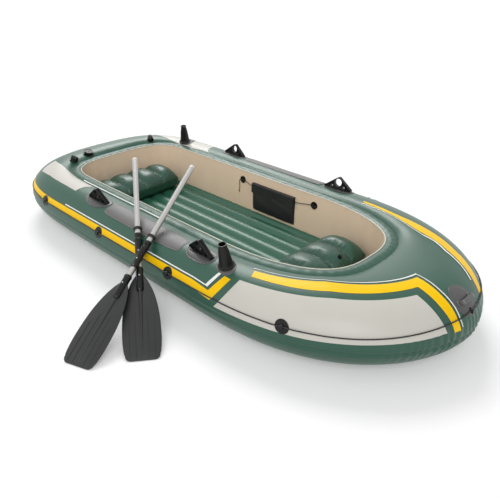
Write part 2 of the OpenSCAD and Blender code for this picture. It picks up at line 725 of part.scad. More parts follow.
module along_x(x0, x1) {
    translate([x0, 0, 0]) rotate([90, 0, 90]) linear_extrude(x1 - x0) children();
}

// A flat bag, open at the top
module pouch() {
    sag = 10;
    color("#222222") difference() {
        along_x(pouch_x[1], pouch_x[0]) polygon([[pouch_back, pouch_z], [pouch_back, pouch_top],
            [pouch_back - pouch_t, pouch_top], [pouch_back - pouch_t, pouch_z + sag],
            [pouch_back - pouch_t + sag / 2, pouch_z]]);
        along_x(pouch_x[1] + pouch_wall, pouch_x[0] - pouch_wall) translate([pouch_back - pouch_t + pouch_wall, 0])
            polygon([[0, pouch_top + cut], [0, pouch_z + sag + pouch_wall],
                [sag / 2, pouch_z + pouch_wall], [pouch_t - 2 * pouch_wall, pouch_z + pouch_wall],
                [pouch_t - 2 * pouch_wall, pouch_top + cut]]);
    }
}

// The flap folds over the mouth and down the front
module pouch_flap() {
    front = pouch_back - pouch_t - seat_gap;
    color("#262626") along_x(pouch_x[1], pouch_x[0]) polygon([
        [pouch_back, pouch_top + seat_gap], [pouch_back, pouch_top + seat_gap + pouch_wall],
        [front - pouch_wall, pouch_top + seat_gap + pouch_wall], [front - pouch_wall, pouch_top - pouch_flap_drop],
        [front, pouch_top - pouch_flap_drop], [front, pouch_top + seat_gap]]);
}

pouch_disc_t = 4;
cord_hole_d = pouch_cord_d + 1.6;
cord_lift = pouch_disc_t + 1 + cord_hole_d / 2;
cord_below_top = 28;
function holder_wall_y() = cockpit_half - wall_out(pouch_holder_z);
// Stands its children on the port wall, their Z into the cockpit
module on_wall(x) {
    translate([x, holder_wall_y() - seat_gap, pouch_holder_z]) rotate([90 - wall_lean(pouch_holder_z), 0, 0])
        children();
}

// A disc with a raised rim and a bridge for the cord
module pouch_holder(i) {
    rim = 3;
    block = cord_hole_d + 2 * rim;
    color("#1c1c1c") on_wall(pouch_holder_x[i]) {
        difference() {
            cylinder(h = pouch_disc_t + 1, d = pouch_holder_d);
            translate([0, 0, pouch_disc_t - 1]) cylinder(h = pouch_disc_t, d = pouch_holder_d - 2 * rim);
        }
        difference() {
            translate([-block / 2, -block / 2, 0]) cube([block, block, cord_lift + block / 2]);
            translate([0, 0, cord_lift]) rotate([0, 90, 0]) cylinder(h = 2 * block, d = cord_hole_d, center = true);
        }
    }
}

// Tube along a route that stays near a plane square to Y
module cord(route) {
    last = len(route) - 1;
    points = [for (i = [0 : last])
        let (d = route[min(i + 1, last)] - route[max(i - 1, 0)], n = cross(d, [0, 1, 0]) / norm(cross(d, [0, 1, 0])),
            b = cross(n, d) / norm(d))
        for (s = [0 : rope_sides - 1])
            route[i] + pouch_cord_d / 2 * (n * cos(s * 360 / rope_sides) + b * sin(s * 360 / rope_sides))];
    polyhedron(points, concat(tube_faces(last + 1, rope_sides),
        [[for (s = [rope_sides - 1 : -1 : 0]) s], [for (s = [0 : rope_sides - 1]) last * rope_sides + s]]));
}
function tube_faces(rows, cols) = [for (i = [0 : rows - 2], j = [0 : cols - 1]) let (j1 = (j + 1) % cols)
    each [[at(i, j, cols), at(i, j1, cols), at(i + 1, j1, cols)], [at(i, j, cols), at(i + 1, j1, cols), at(i + 1, j, cols)]]];

function cord_y() = holder_wall_y() - seat_gap - cord_lift;
function cord_start(x) = [x, pouch_back - pouch_t / 2, pouch_top - cord_below_top];
module pouch_cord_fwd() {
    hole = pouch_holder_x[0];
    color("#3a352e") cord([cord_start(pouch_x[0] + seat_gap), [hole - 20, cord_y(), pouch_holder_z],
        [hole, cord_y(), pouch_holder_z], [hole + 12, cord_y(), pouch_holder_z]]);
}

// The aft cord's end hangs down along the wall
module pouch_cord_aft() {
    hole = pouch_holder_x[1];
    color("#3a352e") cord([cord_start(pouch_x[1] - seat_gap), [hole + 20, cord_y(), pouch_holder_z],
        [hole, cord_y(), pouch_holder_z], [hole - 12, cord_y(), pouch_holder_z],
        [hole - 20, cord_y(), pouch_holder_z - 3], [hole - 25, cord_y(), pouch_holder_z - 10],
        [hole - 26, cord_y(), pouch_holder_z - 30], [hole - 25, cord_y(), pouch_holder_z - 55],
        [hole - 27, cord_y(), pouch_holder_z - 80]]);
}

// ---- Cushions -----------------------------------------------------------------------------------
cushion_corner = 0.26;
cushion_x = [half_len - bow_deck - cushion_in[0], stern_deck + cushion_in[1] - half_len];
pillow_u = 12;
pillow_v = 8;
// Height of a pillow's skin at (u, v), both from -1 to 1, as a part of its height above or below the seam
function lobe(v) = let (s = (v + 1) / 2 * cushion_lobes) 2 * abs(s - floor(s) - 0.5);
function crown_of(u, v) = pow(1 - pow(abs(u), 2.6), 0.62) * pow(1 - pow(abs(v), 8), 0.5)
    * (1 - cushion_channel * pow(lobe(v), 2.6) * (1 - pow(abs(v), 12)));
function belly_of(u, v) = pow(1 - pow(abs(u), 8), 0.4) * pow(1 - pow(abs(v), 16), 0.4);
function pillow_point(u, v, top) = [
    cushion_depth / 2 * u * sqrt(1 - cushion_corner * v * v),
    cushion_len / 2 * v * sqrt(1 - cushion_corner / 3 * u * u),
    top ? cushion_h * (1 - cushion_seam) + cushion_h * cushion_seam * crown_of(u, v)
        : cushion_h * (1 - cushion_seam) * (1 - belly_of(u, v))];

// Grid positions crowd towards the edges, where the skin turns
function grid(i, n) = sin(90 * (2 * i / n - 1));
function pillow_index(i, j, nu, nv, top) =
    top || i == 0 || j == 0 || i == nu || j == nv ? i * (nv + 1) + j
    : (nu + 1) * (nv + 1) + (i - 1) * (nv - 1) + j - 1;

module cushion(x) {
    nu = pillow_u;
    nv = pillow_v * cushion_lobes;
    points = concat(
        [for (i = [0 : nu], j = [0 : nv]) pillow_point(grid(i, nu), 2 * j / nv - 1, true)],
        [for (i = [1 : nu - 1], j = [1 : nv - 1]) pillow_point(grid(i, nu), 2 * j / nv - 1, false)]);
    faces = [for (i = [0 : nu - 1], j = [0 : nv - 1], top = [true, false])
        let (p = pillow_index(i, j, nu, nv, top), q = pillow_index(i + 1, j, nu, nv, top),
            r = pillow_index(i + 1, j + 1, nu, nv, top), s = pillow_index(i, j + 1, nu, nv, top))
        each (2 * i < nu) == (2 * j < nv)
            ? (top ? [[p, s, r], [p, r, q]] : [[p, r, s], [p, q, r]])
            : (top ? [[p, s, q], [q, s, r]] : [[p, q, s], [q, r, s]])];
    color("#4f8070") translate([x, 0, floor_crest_h + seat_gap]) polyhedron(points, faces);
}

// The cushion's valve sits on a lobe's crest, this many steps of the grid from the edge that faces away
// from the middle of the boat
valve_steps = 3;
module on_cushion(i) {
    away = sign(cushion_x[i]);
    u = away * grid(pillow_u - valve_steps, pillow_u);
    v = 1 / cushion_lobes;
    p = pillow_point(u, v, true);
    n = cross(pillow_point(u + sliver, v, true) - pillow_point(u - sliver, v, true),
        pillow_point(u, v + sliver, true) - pillow_point(u, v - sliver, true));
    m = n / norm(n);
    translate([cushion_x[i], 0, floor_crest_h + seat_gap] + p + m * seat_gap)
        rotate([0, acos(m.z), atan2(m.y, m.x)]) children();
}

module cushion_valve(i) {
    color("#2a2a2a") on_cushion(i) valve_stem();
}

module cushion_plug(i) {
    color("#1c1c1c") on_cushion(i) valve_plug();
}

// ---- Oars ---------------------------------------------------------------------------------------
// An oar is drawn upright on its blade's tip, with the blade square to X and its buttons towards -X.
shaft_r = shaft_d / 2;
bore_r = shaft_r - shaft_wall;
sleeve_r = shaft_r + slide_fit + sleeve_wall;
socket_r = shaft_r + slide_fit + socket_wall;
cap_h = 12;
shaft_joint_z = sleeve_z + sleeve_len / 2;
sleeve_button_z = sleeve_z + sleeve_len * 0.3;
blade_button_z = blend(socket_z[0], socket_z[1], 0.6);
socket_floor = 6;
socket_bead = 1.5;
sleeve_bead = 1;
sleeve_flange = 3;
button_hole_d = button_d + 0.8;
shoulder_z = 455;
widest_z = 120;
tip_corner_r = 26;

// Half the width of the blade at a distance from its tip
function blade_half(z) = z <= widest_z ? blend(blade_tip_w, blade_w, sin(90 * z / widest_z)) / 2
    : blade_w / 2 * pow(1 - pow((z - widest_z) / (shoulder_z - widest_z), 2.4), 0.71);
blade_side = concat(
    [for (t = [0 : 15 : 90]) [blade_tip_w / 2 + 2 - tip_corner_r * (1 - sin(t)), tip_corner_r * (1 - cos(t))]],
    [for (z = [50 : 24 : 434]) [blade_half(z), z]],
    [[0, shoulder_z]]);

module button_hole(z) {
    translate([0, 0, z]) rotate([0, -90, 0]) cylinder(h = 2 * socket_r, d = button_hole_d);
}

module blade() {
    spine_z = 20;
    spine_r = [3, 11];
    rib_w = 3;
    rib_t = blade_t + 2 * blade_rib_h;
    color("#3a3a3a") difference() {
        union() {
            rotate([90, 0, 90]) translate([0, 0, -blade_t / 2]) linear_extrude(blade_t)
                polygon(concat(blade_side, [for (i = [len(blade_side) - 2 : -1 : 0])
                    [-blade_side[i].x, blade_side[i].y]]));
            translate([0, 0, spine_z]) cylinder(h = socket_z[0] - spine_z, r1 = spine_r[0], r2 = spine_r[1]);
            translate([0, 0, socket_z[0] - 2 * socket_floor])
                cylinder(h = 2 * socket_floor, r1 = spine_r[1] - 1, r2 = socket_r);
            translate([0, 0, socket_z[0]]) cylinder(h = socket_z[1] - socket_z[0], r = socket_r);
            translate([0, 0, socket_z[1] - 2 * socket_floor]) cylinder(h = socket_floor, r = socket_r + socket_bead);
            for (rib = [[0.16, 250], [0.32, 200]], s = [-1, 1])
                translate([-rib_t / 2, s * rib[0] * blade_w - rib_w / 2, 10]) cube([rib_t, rib_w, rib[1]]);
        }
        translate([0, 0, socket_z[0] + socket_floor]) cylinder(h = socket_z[1], r = shaft_r + slide_fit);
        button_hole(blade_button_z);
    }
}

module shaft_lower() {
    z0 = socket_z[0] + socket_floor + seat_gap;
    color("#e6e6e6") difference() {
        translate([0, 0, z0]) cylinder(h = shaft_joint_z - seat_gap - z0, r = shaft_r);
        translate([0, 0, z0 - cut]) cylinder(h = shaft_joint_z, r = bore_r);
        button_hole(blade_button_z);
        button_hole(sleeve_button_z);
    }
}

module shaft_upper() {
    color("#e6e6e6") translate([0, 0, shaft_joint_z]) difference() {
        cylinder(h = oar_len - cap_h - shaft_joint_z, r = shaft_r);
        translate([0, 0, -cut]) cylinder(h = oar_len, r = bore_r);
    }
}

module sleeve() {
    ring_h = 6;
    color("#1f1f1f") difference() {
        union() {
            translate([0, 0, sleeve_z]) cylinder(h = sleeve_len, r = sleeve_r);
            for (part = [0, 0.72, 0.94]) translate([0, 0, sleeve_z + part * sleeve_len])
                cylinder(h = ring_h, r = sleeve_r + (part == 0.72 ? sleeve_flange : sleeve_bead));
        }
        translate([0, 0, sleeve_z - cut]) cylinder(h = sleeve_len + 2 * cut, r = shaft_r + slide_fit);
        button_hole(sleeve_button_z);
    }
}

// A soft ring that keeps drips off the hands and slides on the shaft
drip_lip = 4;
module drip_ring() {
    bore = shaft_r + slide_fit;
    neck = shaft_r + drip_lip;
    color("#151515") translate([0, 0, drip_ring_z]) rotate_extrude() polygon([
        [bore, -2 * drip_lip], [neck, -2 * drip_lip], [neck, -drip_lip / 2], [drip_ring_d / 2, 0],
        [drip_ring_d / 2, drip_lip], [neck, drip_lip], [neck, 2 * drip_lip], [bore, 2 * drip_lip]]);
}

module end_cap() {
    plug_h = 24;
    color("#eeeeee") translate([0, 0, oar_len - cap_h]) {
        rotate_extrude() polygon(concat([[0, 0], [shaft_r, 0]],
            [for (t = [0 : 15 : 90]) [shaft_r - cap_h / 2 * (1 - cos(t)), cap_h / 2 + cap_h / 2 * sin(t)]],
            [[0, cap_h]]));
        translate([0, 0, -plug_h]) cylinder(h = plug_h, r = bore_r - slide_fit / 3);
    }
}

button_head_r = button_d / 2 + 1.6;
button_head_t = 1.8;
// A sprung button that stands through the shaft and the piece around it
module snap_button(z, outer_r) {
    top = sqrt(pow(bore_r, 2) - pow(button_head_r, 2)) - slide_fit;
    color("#c8c8c8") translate([0, 0, z]) rotate([0, -90, 0]) {
        cylinder(h = outer_r + button_out - 1, d = button_d);
        translate([0, 0, outer_r + button_out - 1]) cylinder(h = 1, d1 = button_d, d2 = button_d - 2);
        translate([0, 0, top - button_head_t]) cylinder(h = button_head_t, r = button_head_r);
    }
}

// An oar lies with its tip on the ground and leans up at an angle in degrees
function bisect(f, low, high, n) = n == 0 ? low
    : let (mid = (low + high) / 2) f(mid) > 0 ? bisect(f, mid, high, n - 1) : bisect(f, low, mid, n - 1);
bisections = 30;
steepest = 70;
function tip_h(lean) = blade_t / 2 * cos(lean);
function tip_at(tip, lean) = [tip.x, tip.y, tip_h(lean)];
function heading(turn, lean) = [cos(lean) * cos(turn), cos(lean) * sin(turn), sin(lean)];
// Points of a circle round an oar
rim_step = 10;
function rim_of(tip, turn, lean, z, r) = let (h = heading(turn, lean), v = [-sin(turn), cos(turn), 0], u = cross(h, v))
    [for (t = [0 : rim_step : 360 - rim_step]) tip_at(tip, lean) + h * z + (u * cos(t) + v * sin(t)) * r];

// The lean at which the drip ring rests on the starboard tube's pad
function off_tube(p) = max([for (j = [level_n : 2 * level_n - 1])
    let (a = tube(j / level_n, side_deck), b = tube((j + 1) / level_n, side_deck), d = (b - a) / norm(b - a))
    d.x * (p.z - a.y) - d.y * (half_beam + p.y - a.x)]);
function lean_on_tube(tip, turn) = bisect(function (lean) patch_t + seat_gap
    - min([for (z = [drip_ring_z, drip_ring_z + drip_lip], p = rim_of(tip, turn, lean, z, drip_ring_d / 2)) off_tube(p)]),
    5, steepest, bisections);
lower_lean = lean_on_tube(lower_oar_tip, lower_oar_turn);

// The lean at which the upper oar's sleeve rests on the lower oar, from the lean at which their axes would meet
lower_rims = concat([for (z = [socket_z[1] : socket_floor : sleeve_z]) [z, shaft_r]],
    [[socket_z[1], socket_r], [socket_z[1] - socket_floor, socket_r + socket_bead], [sleeve_z, sleeve_r + sleeve_bead]]);
function lean_to_meet(tip, turn) = let (d = heading(lower_oar_turn, lower_lean))
    bisect(function (lean) [lower_oar_tip.x - tip.x, lower_oar_tip.y - tip.y, tip_h(lower_lean) - tip_h(lean)]
        * cross(heading(turn, lean), d), 5, steepest, bisections);
function lean_on_oar(tip, turn) = bisect(function (lean) sleeve_r + seat_gap
    - min([for (rim = lower_rims, p = rim_of(lower_oar_tip, lower_oar_turn, lower_lean, rim[0], rim[1]))
        norm(cross(p - tip_at(tip, lean), heading(turn, lean)))]),
    lean_to_meet(tip, turn), steepest, bisections);
upper_lean = max(lean_on_oar(upper_oar_tip, upper_oar_turn), lean_on_tube(upper_oar_tip, upper_oar_turn));

module lay_oar(i) {
    tip = i == 0 ? lower_oar_tip : upper_oar_tip;
    lean = i == 0 ? lower_lean : upper_lean;
    translate(tip_at(tip, lean)) rotate([0, 90 - lean, i == 0 ? lower_oar_turn : upper_oar_turn])
        children();
}

bottom_sheet();
floor_chamber();
outer_chamber();
inner_chamber();
rub_pad(1);  // rub_pad_port
rub_pad(-1);  // rub_pad_starboard
oarlock_patch(0, 1);  // oarlock_patch_port_fwd
oarlock_patch(1, 1);  // oarlock_patch_port_aft
oarlock_patch(0, -1);  // oarlock_patch_starboard_fwd
oarlock_patch(1, -1);  // oarlock_patch_starboard_aft
oarlock(0, 1);  // oarlock_port_fwd
oarlock(1, 1);  // oarlock_port_aft
oarlock(0, -1);  // oarlock_starboard_fwd
oarlock(1, -1);  // oarlock_starboard_aft
rod_holder_patch(1);  // rod_holder_patch_port
rod_holder_patch(-1);  // rod_holder_patch_starboard
rod_holder(1);  // rod_holder_port
rod_holder(-1);  // rod_holder_starboard
bow_patch();
bow_handle();
bow_rope_lug();
motor_mount(1);  // motor_mount_port
motor_mount(-1);  // motor_mount_starboard
valve_base();
valve_insert();
valve_cap();
floor_valve_base();
floor_valve_plug();
grab_line();
rope_holders(1);  // rope_holders_port
rope_holders(-1);  // rope_holders_starboard
pouch();
pouch_flap();
pouch_cord_fwd();
pouch_cord_aft();
pouch_holder(0);  // pouch_holder_fwd
pouch_holder(1);  // pouch_holder_aft
cushion(cushion_x[0]);  // bow_cushion
cushion_valve(0);  // bow_cushion_valve
cushion_plug(0);  // bow_cushion_plug
cushion(cushion_x[1]);  // stern_cushion
cushion_valve(1);  // stern_cushion_valve
cushion_plug(1);  // stern_cushion_plug
lay_oar(0) blade();  // lower_oar_blade
lay_oar(0) shaft_lower();  // lower_oar_shaft_lower
lay_oar(0) shaft_upper();  // lower_oar_shaft_upper
lay_oar(0) sleeve();  // lower_oar_sleeve
lay_oar(0) drip_ring();  // lower_oar_drip_ring
lay_oar(0) end_cap();  // lower_oar_end_cap
lay_oar(0) snap_button(blade_button_z, socket_r);  // lower_oar_blade_button
lay_oar(0) snap_button(sleeve_button_z, sleeve_r);  // lower_oar_sleeve_button
lay_oar(1) blade();  // upper_oar_blade
lay_oar(1) shaft_lower();  // upper_oar_shaft_lower
lay_oar(1) shaft_upper();  // upper_oar_shaft_upper
lay_oar(1) sleeve();  // upper_oar_sleeve
lay_oar(1) drip_ring();  // upper_oar_drip_ring
lay_oar(1) end_cap();  // upper_oar_end_cap
lay_oar(1) snap_button(blade_button_z, socket_r);  // upper_oar_blade_button
lay_oar(1) snap_button(sleeve_button_z, sleeve_r);  // upper_oar_sleeve_button
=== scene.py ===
import math

import bmesh
import bpy
import numpy as np
from mathutils import Matrix, Vector


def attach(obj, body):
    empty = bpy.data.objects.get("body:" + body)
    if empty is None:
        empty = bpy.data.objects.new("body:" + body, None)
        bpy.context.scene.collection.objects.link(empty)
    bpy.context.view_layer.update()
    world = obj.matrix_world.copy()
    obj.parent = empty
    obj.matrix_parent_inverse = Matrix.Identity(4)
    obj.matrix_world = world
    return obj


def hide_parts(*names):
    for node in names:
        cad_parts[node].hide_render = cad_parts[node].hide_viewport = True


# Inflatable rowing boat with two cushions, a pouch and two oars, dressed round its CAD frame.
# Metres. X points to the bow, Y to port, Z up.

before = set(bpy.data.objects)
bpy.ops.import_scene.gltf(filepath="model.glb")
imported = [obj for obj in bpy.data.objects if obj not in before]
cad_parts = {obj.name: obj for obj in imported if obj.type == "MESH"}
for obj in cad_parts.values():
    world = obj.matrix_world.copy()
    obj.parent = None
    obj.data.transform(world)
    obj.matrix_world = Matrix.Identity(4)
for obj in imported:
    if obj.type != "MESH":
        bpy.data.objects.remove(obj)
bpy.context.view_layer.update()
MM = 0.001
SIDES = ((1, "port"), (-1, "starboard"))

# ---- Camera, light and floor --------------------------------------------------------------------
CAMERA_AT = (2.0632, -2.0147, 1.5718)
CAMERA_DOWN = 29.33
CAMERA_TURN = 45.15
LENS = 39.1
SHIFT = (0.0346, 0.0035)


def linear(code):
    """Turns an sRGB hex colour to linear."""
    shares = [int(code[i:i + 2], 16) / 255 for i in (1, 3, 5)]
    return tuple(c / 12.92 if c <= 0.04045 else ((c + 0.055) / 1.055) ** 2.4 for c in shares) + (1.0,)


def add(tree, kind, inputs=None, **settings):
    """Adds a node with its settings. Each input is a value, or the socket that feeds it."""
    node = tree.nodes.new("ShaderNode" + kind)
    for name, value in settings.items():
        setattr(node, name, value)
    for name, value in (inputs or {}).items():
        if isinstance(value, bpy.types.NodeSocket):
            tree.links.new(value, node.inputs[name])
        else:
            node.inputs[name].default_value = value
    return node


def link_object(name, data):
    obj = bpy.data.objects.new(name, data)
    bpy.context.scene.collection.objects.link(obj)
    return obj


def set_camera():
    camera = link_object("camera", bpy.data.cameras.new("camera"))
    camera.location = CAMERA_AT
    camera.rotation_euler = (math.radians(90 - CAMERA_DOWN), 0, math.radians(CAMERA_TURN))
    camera.data.lens = LENS
    camera.data.shift_x, camera.data.shift_y = SHIFT
    bpy.context.scene.camera = camera


# Each lamp: direction it stands in (azimuth, elevation), strength, angular size
LAMPS = {
    "back_softbox": (145, 44, 1.40, 26),
    "back_panel": (134, 12, 0.20, 40),
    "bow_fill": (-52, 42, 1.10, 36),
    "stern_fill": (-125, 30, 0.30, 60),
}
AMBIENT = 0.45
FLOOR_GLOW, FLOOR_HALF = 0.22, 40


def cleared(owner):
    """The emptied node tree of a world or a material."""
    owner.use_nodes = True
    owner.node_tree.nodes.clear()
    return owner.node_tree


def seen_level(tree, unseen, seen):
    """A strength with its own level where it is seen, straight, mirrored or through a clear piece."""
    path = add(tree, "LightPath")
    rays = add(tree, "Math", {0: path.outputs["Is Camera Ray"], 1: path.outputs["Is Glossy Ray"]},
               operation="MAXIMUM")
    rays = add(tree, "Math", {0: rays.outputs[0], 1: path.outputs["Is Transmission Ray"]},
               operation="MAXIMUM")
    return add(tree, "MapRange", {"Value": rays.outputs[0], "To Min": unseen, "To Max": seen}).outputs[0]


def set_lights():
    for name, (azimuth, elevation, strength, size) in LAMPS.items():
        lamp = bpy.data.lights.new(name, "SUN")
        lamp.energy = strength
        lamp.angle = math.radians(size)
        obj = link_object(name, lamp)
        obj.rotation_euler = (math.radians(90 - elevation), 0, math.radians(azimuth + 90))
    world = bpy.data.worlds.new("studio")
    bpy.context.scene.world = world
    tree = cleared(world)
    white = add(tree, "Background", {"Color": linear("#ffffff"), "Strength": seen_level(tree, AMBIENT, 1.0)})
    add(tree, "OutputWorld", {"Surface": white.outputs[0]})


def set_floor():
    """White studio floor that glows a little where it is seen: it reads white and keeps its shadows."""
    bm = bmesh.new()
    bmesh.ops.create_grid(bm, x_segments=1, y_segments=1, size=FLOOR_HALF)
    mesh = bpy.data.meshes.new("studio_floor")
    bm.to_mesh(mesh)
    bm.free()
    material = bpy.data.materials.new("studio_floor")
    tree = cleared(material)
    glow = add(tree, "Emission", {"Color": linear("#ffffff"), "Strength": seen_level(tree, 0.0, FLOOR_GLOW)})
    matt = add(tree, "BsdfDiffuse", {"Color": linear("#ececec")})
    both = add(tree, "AddShader", {0: glow.outputs[0], 1: matt.outputs[0]})
    add(tree, "OutputMaterial", {"Surface": both.outputs[0]})
    mesh.materials.append(material)
    link_object("studio_floor", mesh)


bpy.context.scene.view_settings.view_transform = "Standard"
set_camera()
set_lights()
set_floor()


# ---- Materials ----------------------------------------------------------------------------------
def per_metre(millimetres):
    """Scale of a noise whose grains are about this far apart."""
    return 1000 / millimetres


GRAIN_STRENGTH, SMEARS_PER_CLOUD = 0.35, 6


def surface(name, tones, rough, cloud=120, grain=1.6, relief=0.02, ior=1.5, metallic=0.0, uneven=0.06,
            **sockets):
    """A finish: two tones in soft clouds, an uneven gloss and a fine grain. Sizes in mm."""
    material = bpy.data.materials.new(name)
    tree = cleared(material)
    place = add(tree, "TexCoord").outputs["Object"]
    clouds = add(tree, "TexNoise", {"Vector": place, "Scale": per_metre(cloud), "Detail": 3.0})
    colour = add(tree, "Mix", {0: clouds.outputs["Fac"], 6: linear(tones[0]), 7: linear(tones[1])},
                 data_type="RGBA")
    smear = add(tree, "TexNoise", {"Vector": place, "Scale": per_metre(cloud / SMEARS_PER_CLOUD),
                                   "Detail": 4.0})
    gloss = add(tree, "MapRange", {"Value": smear.outputs["Fac"], "To Min": rough - uneven,
                                   "To Max": rough + uneven})
    grains = add(tree, "TexNoise", {"Vector": place, "Scale": per_metre(grain), "Detail": 2.0})
    bump = add(tree, "Bump", {"Height": grains.outputs["Fac"], "Strength": GRAIN_STRENGTH,
                               "Distance": relief * MM})
    shader = add(tree, "BsdfPrincipled", {
        "Base Color": colour.outputs[2], "Roughness": gloss.outputs[0], "Normal": bump.outputs[0],
        "IOR": ior, "Metallic": metallic, **sockets})
    add(tree, "OutputMaterial", {"Surface": shader.outputs[0]})
    return material


# Calendered PVC sheet, rolled smooth: soft broad highlights and faint clouds of colour
SHEEN = {"Specular IOR Level": 0.42}
MATT = {"Specular IOR Level": 0.3}
INK = {"Specular IOR Level": 0.14}
EMBOSSED = {"grain": 2.2, "ior": 1.53}
FLAT = {"grain": 6.0, "relief": 0.004, "uneven": 0.03, "ior": 1.53}
hull_vinyl = surface("calendered_vinyl_green", ("#244f3f", "#2a5746"), 0.36, **FLAT, **SHEEN)
floor_vinyl = surface("calendered_vinyl_floor", ("#2b5d49", "#316551"), 0.36, **FLAT, **SHEEN)
bottom_vinyl = surface("calendered_vinyl_bottom", ("#2b483c", "#304e42"), 0.42, **FLAT, **SHEEN)
cushion_vinyl = surface("calendered_vinyl_cushion", ("#1e4637", "#244e3f"), 0.34, **FLAT, **SHEEN)
wall_vinyl = surface("calendered_vinyl_tan", ("#efd4b8", "#f5dec4"), 0.40, **FLAT, **SHEEN)
# Ink printed on the sheet: as smooth as the sheet under it. The dark green-black one is painted shade, not ink
yellow_ink = surface("printed_ink_yellow", ("#fcc600", "#ffce00"), 0.34, **FLAT, **INK)
bone_ink = surface("printed_ink_bone", ("#cac7be", "#d0cdc5"), 0.34, **FLAT, **MATT)
# The white is also used for a painted highlight: the pale line along the rim's weld
white_ink_and_painted_highlight = surface("printed_ink_white_and_painted_highlight", ("#e9ece8", "#f0f2ee"), 0.30, **FLAT, **SHEEN)
# Painted shade: a dark green-black for the band of shade under the grab line
grab_line_shade_paint = surface("painted_shade_green_black", ("#1d211f", "#232725"), 0.32, **FLAT, **SHEEN)
piping_vinyl = surface("welded_piping_pale", ("#e2dccd", "#ebe6da"), 0.36, **FLAT, **SHEEN)
# Reinforcing sheet, embossed matt so that it doesn't scuff
patch_vinyl = surface("embossed_vinyl_grey", ("#585656", "#605e5e"), 0.44, relief=0.10, **EMBOSSED)
dark_patch_vinyl = surface("embossed_vinyl_charcoal", ("#464646", "#4e4e4e"), 0.35, relief=0.08, **EMBOSSED)
# Injection-moulded polyethylene: black, satin, with a fine spark-eroded grain
moulded_black = surface("moulded_polyethylene_black", ("#0f0f0f", "#141414"), 0.34,
                        grain=1.0, relief=0.03, **MATT)
# Soft PVC: valves and plugs, a shade paler than the moulded pieces
cap_black = surface("moulded_vinyl_black", ("#121212", "#171717"), 0.32, grain=1.0, relief=0.03, **MATT)
# Glass-filled polypropylene: dark grey and a little chalky
blade_plastic = surface("moulded_polypropylene_grey", ("#303031", "#363738"), 0.36,
                        grain=1.2, relief=0.03, cloud=60, **MATT)
sleeve_plastic = surface("moulded_polypropylene_black", ("#0e0e0f", "#131314"), 0.24,
                         grain=1.0, relief=0.02, **MATT)
# Moulded rubber: dull
ring_rubber = surface("moulded_rubber_black", ("#171717", "#1c1c1c"), 0.55, grain=1.0, relief=0.05, ior=1.52)
# Polyethylene: white end caps with a soft shine
cap_white = surface("moulded_polyethylene_white", ("#e8e8e6", "#efefed"), 0.36, grain=1.0, relief=0.02)
# Anodised aluminium tube: pale satin metal
shaft_metal = surface("anodised_aluminium", ("#b4b3b1", "#bbb9b7"), 0.38, cloud=40, relief=0.01, metallic=1.0)
# Polished steel: the snap buttons
button_steel = surface("polished_steel", ("#b9babb", "#c9cacb"), 0.22, cloud=10, relief=0.0, metallic=1.0)
# Woven nylon: dark and dull, with a coarse grain in place of single threads
cloth_black = surface("woven_nylon_black", ("#272728", "#303031"), 0.42,
                      cloud=50, grain=1.4, relief=0.12, **MATT)
# Braided polypropylene: rough, with a deep grain
rope_black = surface("braided_polypropylene_black", ("#141414", "#1f1f1f"), 0.55,
                     cloud=8, grain=2.0, relief=0.5)
# Soft vinyl strap: mid grey with a slight shine
handle_rubber = surface("moulded_vinyl_handle_grey", ("#5a5a5b", "#636364"), 0.30, grain=1.2, relief=0.03)
# Braided polyester: a rough brown cord
cord_brown = surface("braided_polyester_cord", ("#2c2823", "#3d372f"), 0.62, cloud=6, grain=1.5, relief=0.4)

# ---- Hull surface -------------------------------------------------------------------------------
# The CAD's rule for the hull, in metres: stations round the plan (0 at the nose, 90 to port, 180 at the
# stern) and levels round the section (0 at the foot, 1 at the seam, 2 at the crown, 3 in the valley).
HALF_LEN, HALF_BEAM = 1.475, 0.685
SIDE_DECK, STERN_DECK, BOW_DECK = 0.296, 0.372, 0.525
BOW_START, STERN_START = 0.350, -0.648
BOW_END, STERN_BEGIN = 75, 105
BOW_CURVE, STERN_CURVE = (2.81, 1.76), (3.46, 2.58)
COCKPIT_BOW_CURVE, COCKPIT_STERN_CURVE, NOSE_PULL = (2.15, 3.0), (5.4, 3.2), 18
SEAM_H, CROWN_RISE, CROWN_GAIN = 0.169, 0.147, 0.286
CROWN_IN, CROWN_IN_MAX, FOOT_IN = 0.170, 0.240, 0.205
RIM_W, VALLEY_H, RIM_CROWN, EDGE_H = 0.065, 0.296, 0.012, 0.305
# The weld's gusset fills the valley between the two tubes a little
VALLEY_FILL = 0.006
WALL_BULGE, SHEET_T = 0.006, 0.003
COCKPIT_HALF = HALF_BEAM - SIDE_DECK
RIB_CREST, RIB_DEPTH, RIB_PITCH, RIB_CURVE = 0.058, 0.026, 0.097, 2.2
PATCH_T, SEAT_GAP = 0.0025, 0.0003
PATCH_LIFT = PATCH_T + SEAT_GAP


def fold(a):
    m = np.mod(a, 360.0)
    return np.minimum(m, 360.0 - m)


def side_of(a):
    return np.where(np.mod(a, 360.0) <= 180.0, 1.0, -1.0)


def quarter(t, x0, reach, half, curve):
    t = np.radians(t)
    return (x0 + reach * np.maximum(np.cos(t), 0) ** (2 / curve[0]),
            half * np.maximum(np.sin(t), 0) ** (2 / curve[1]))


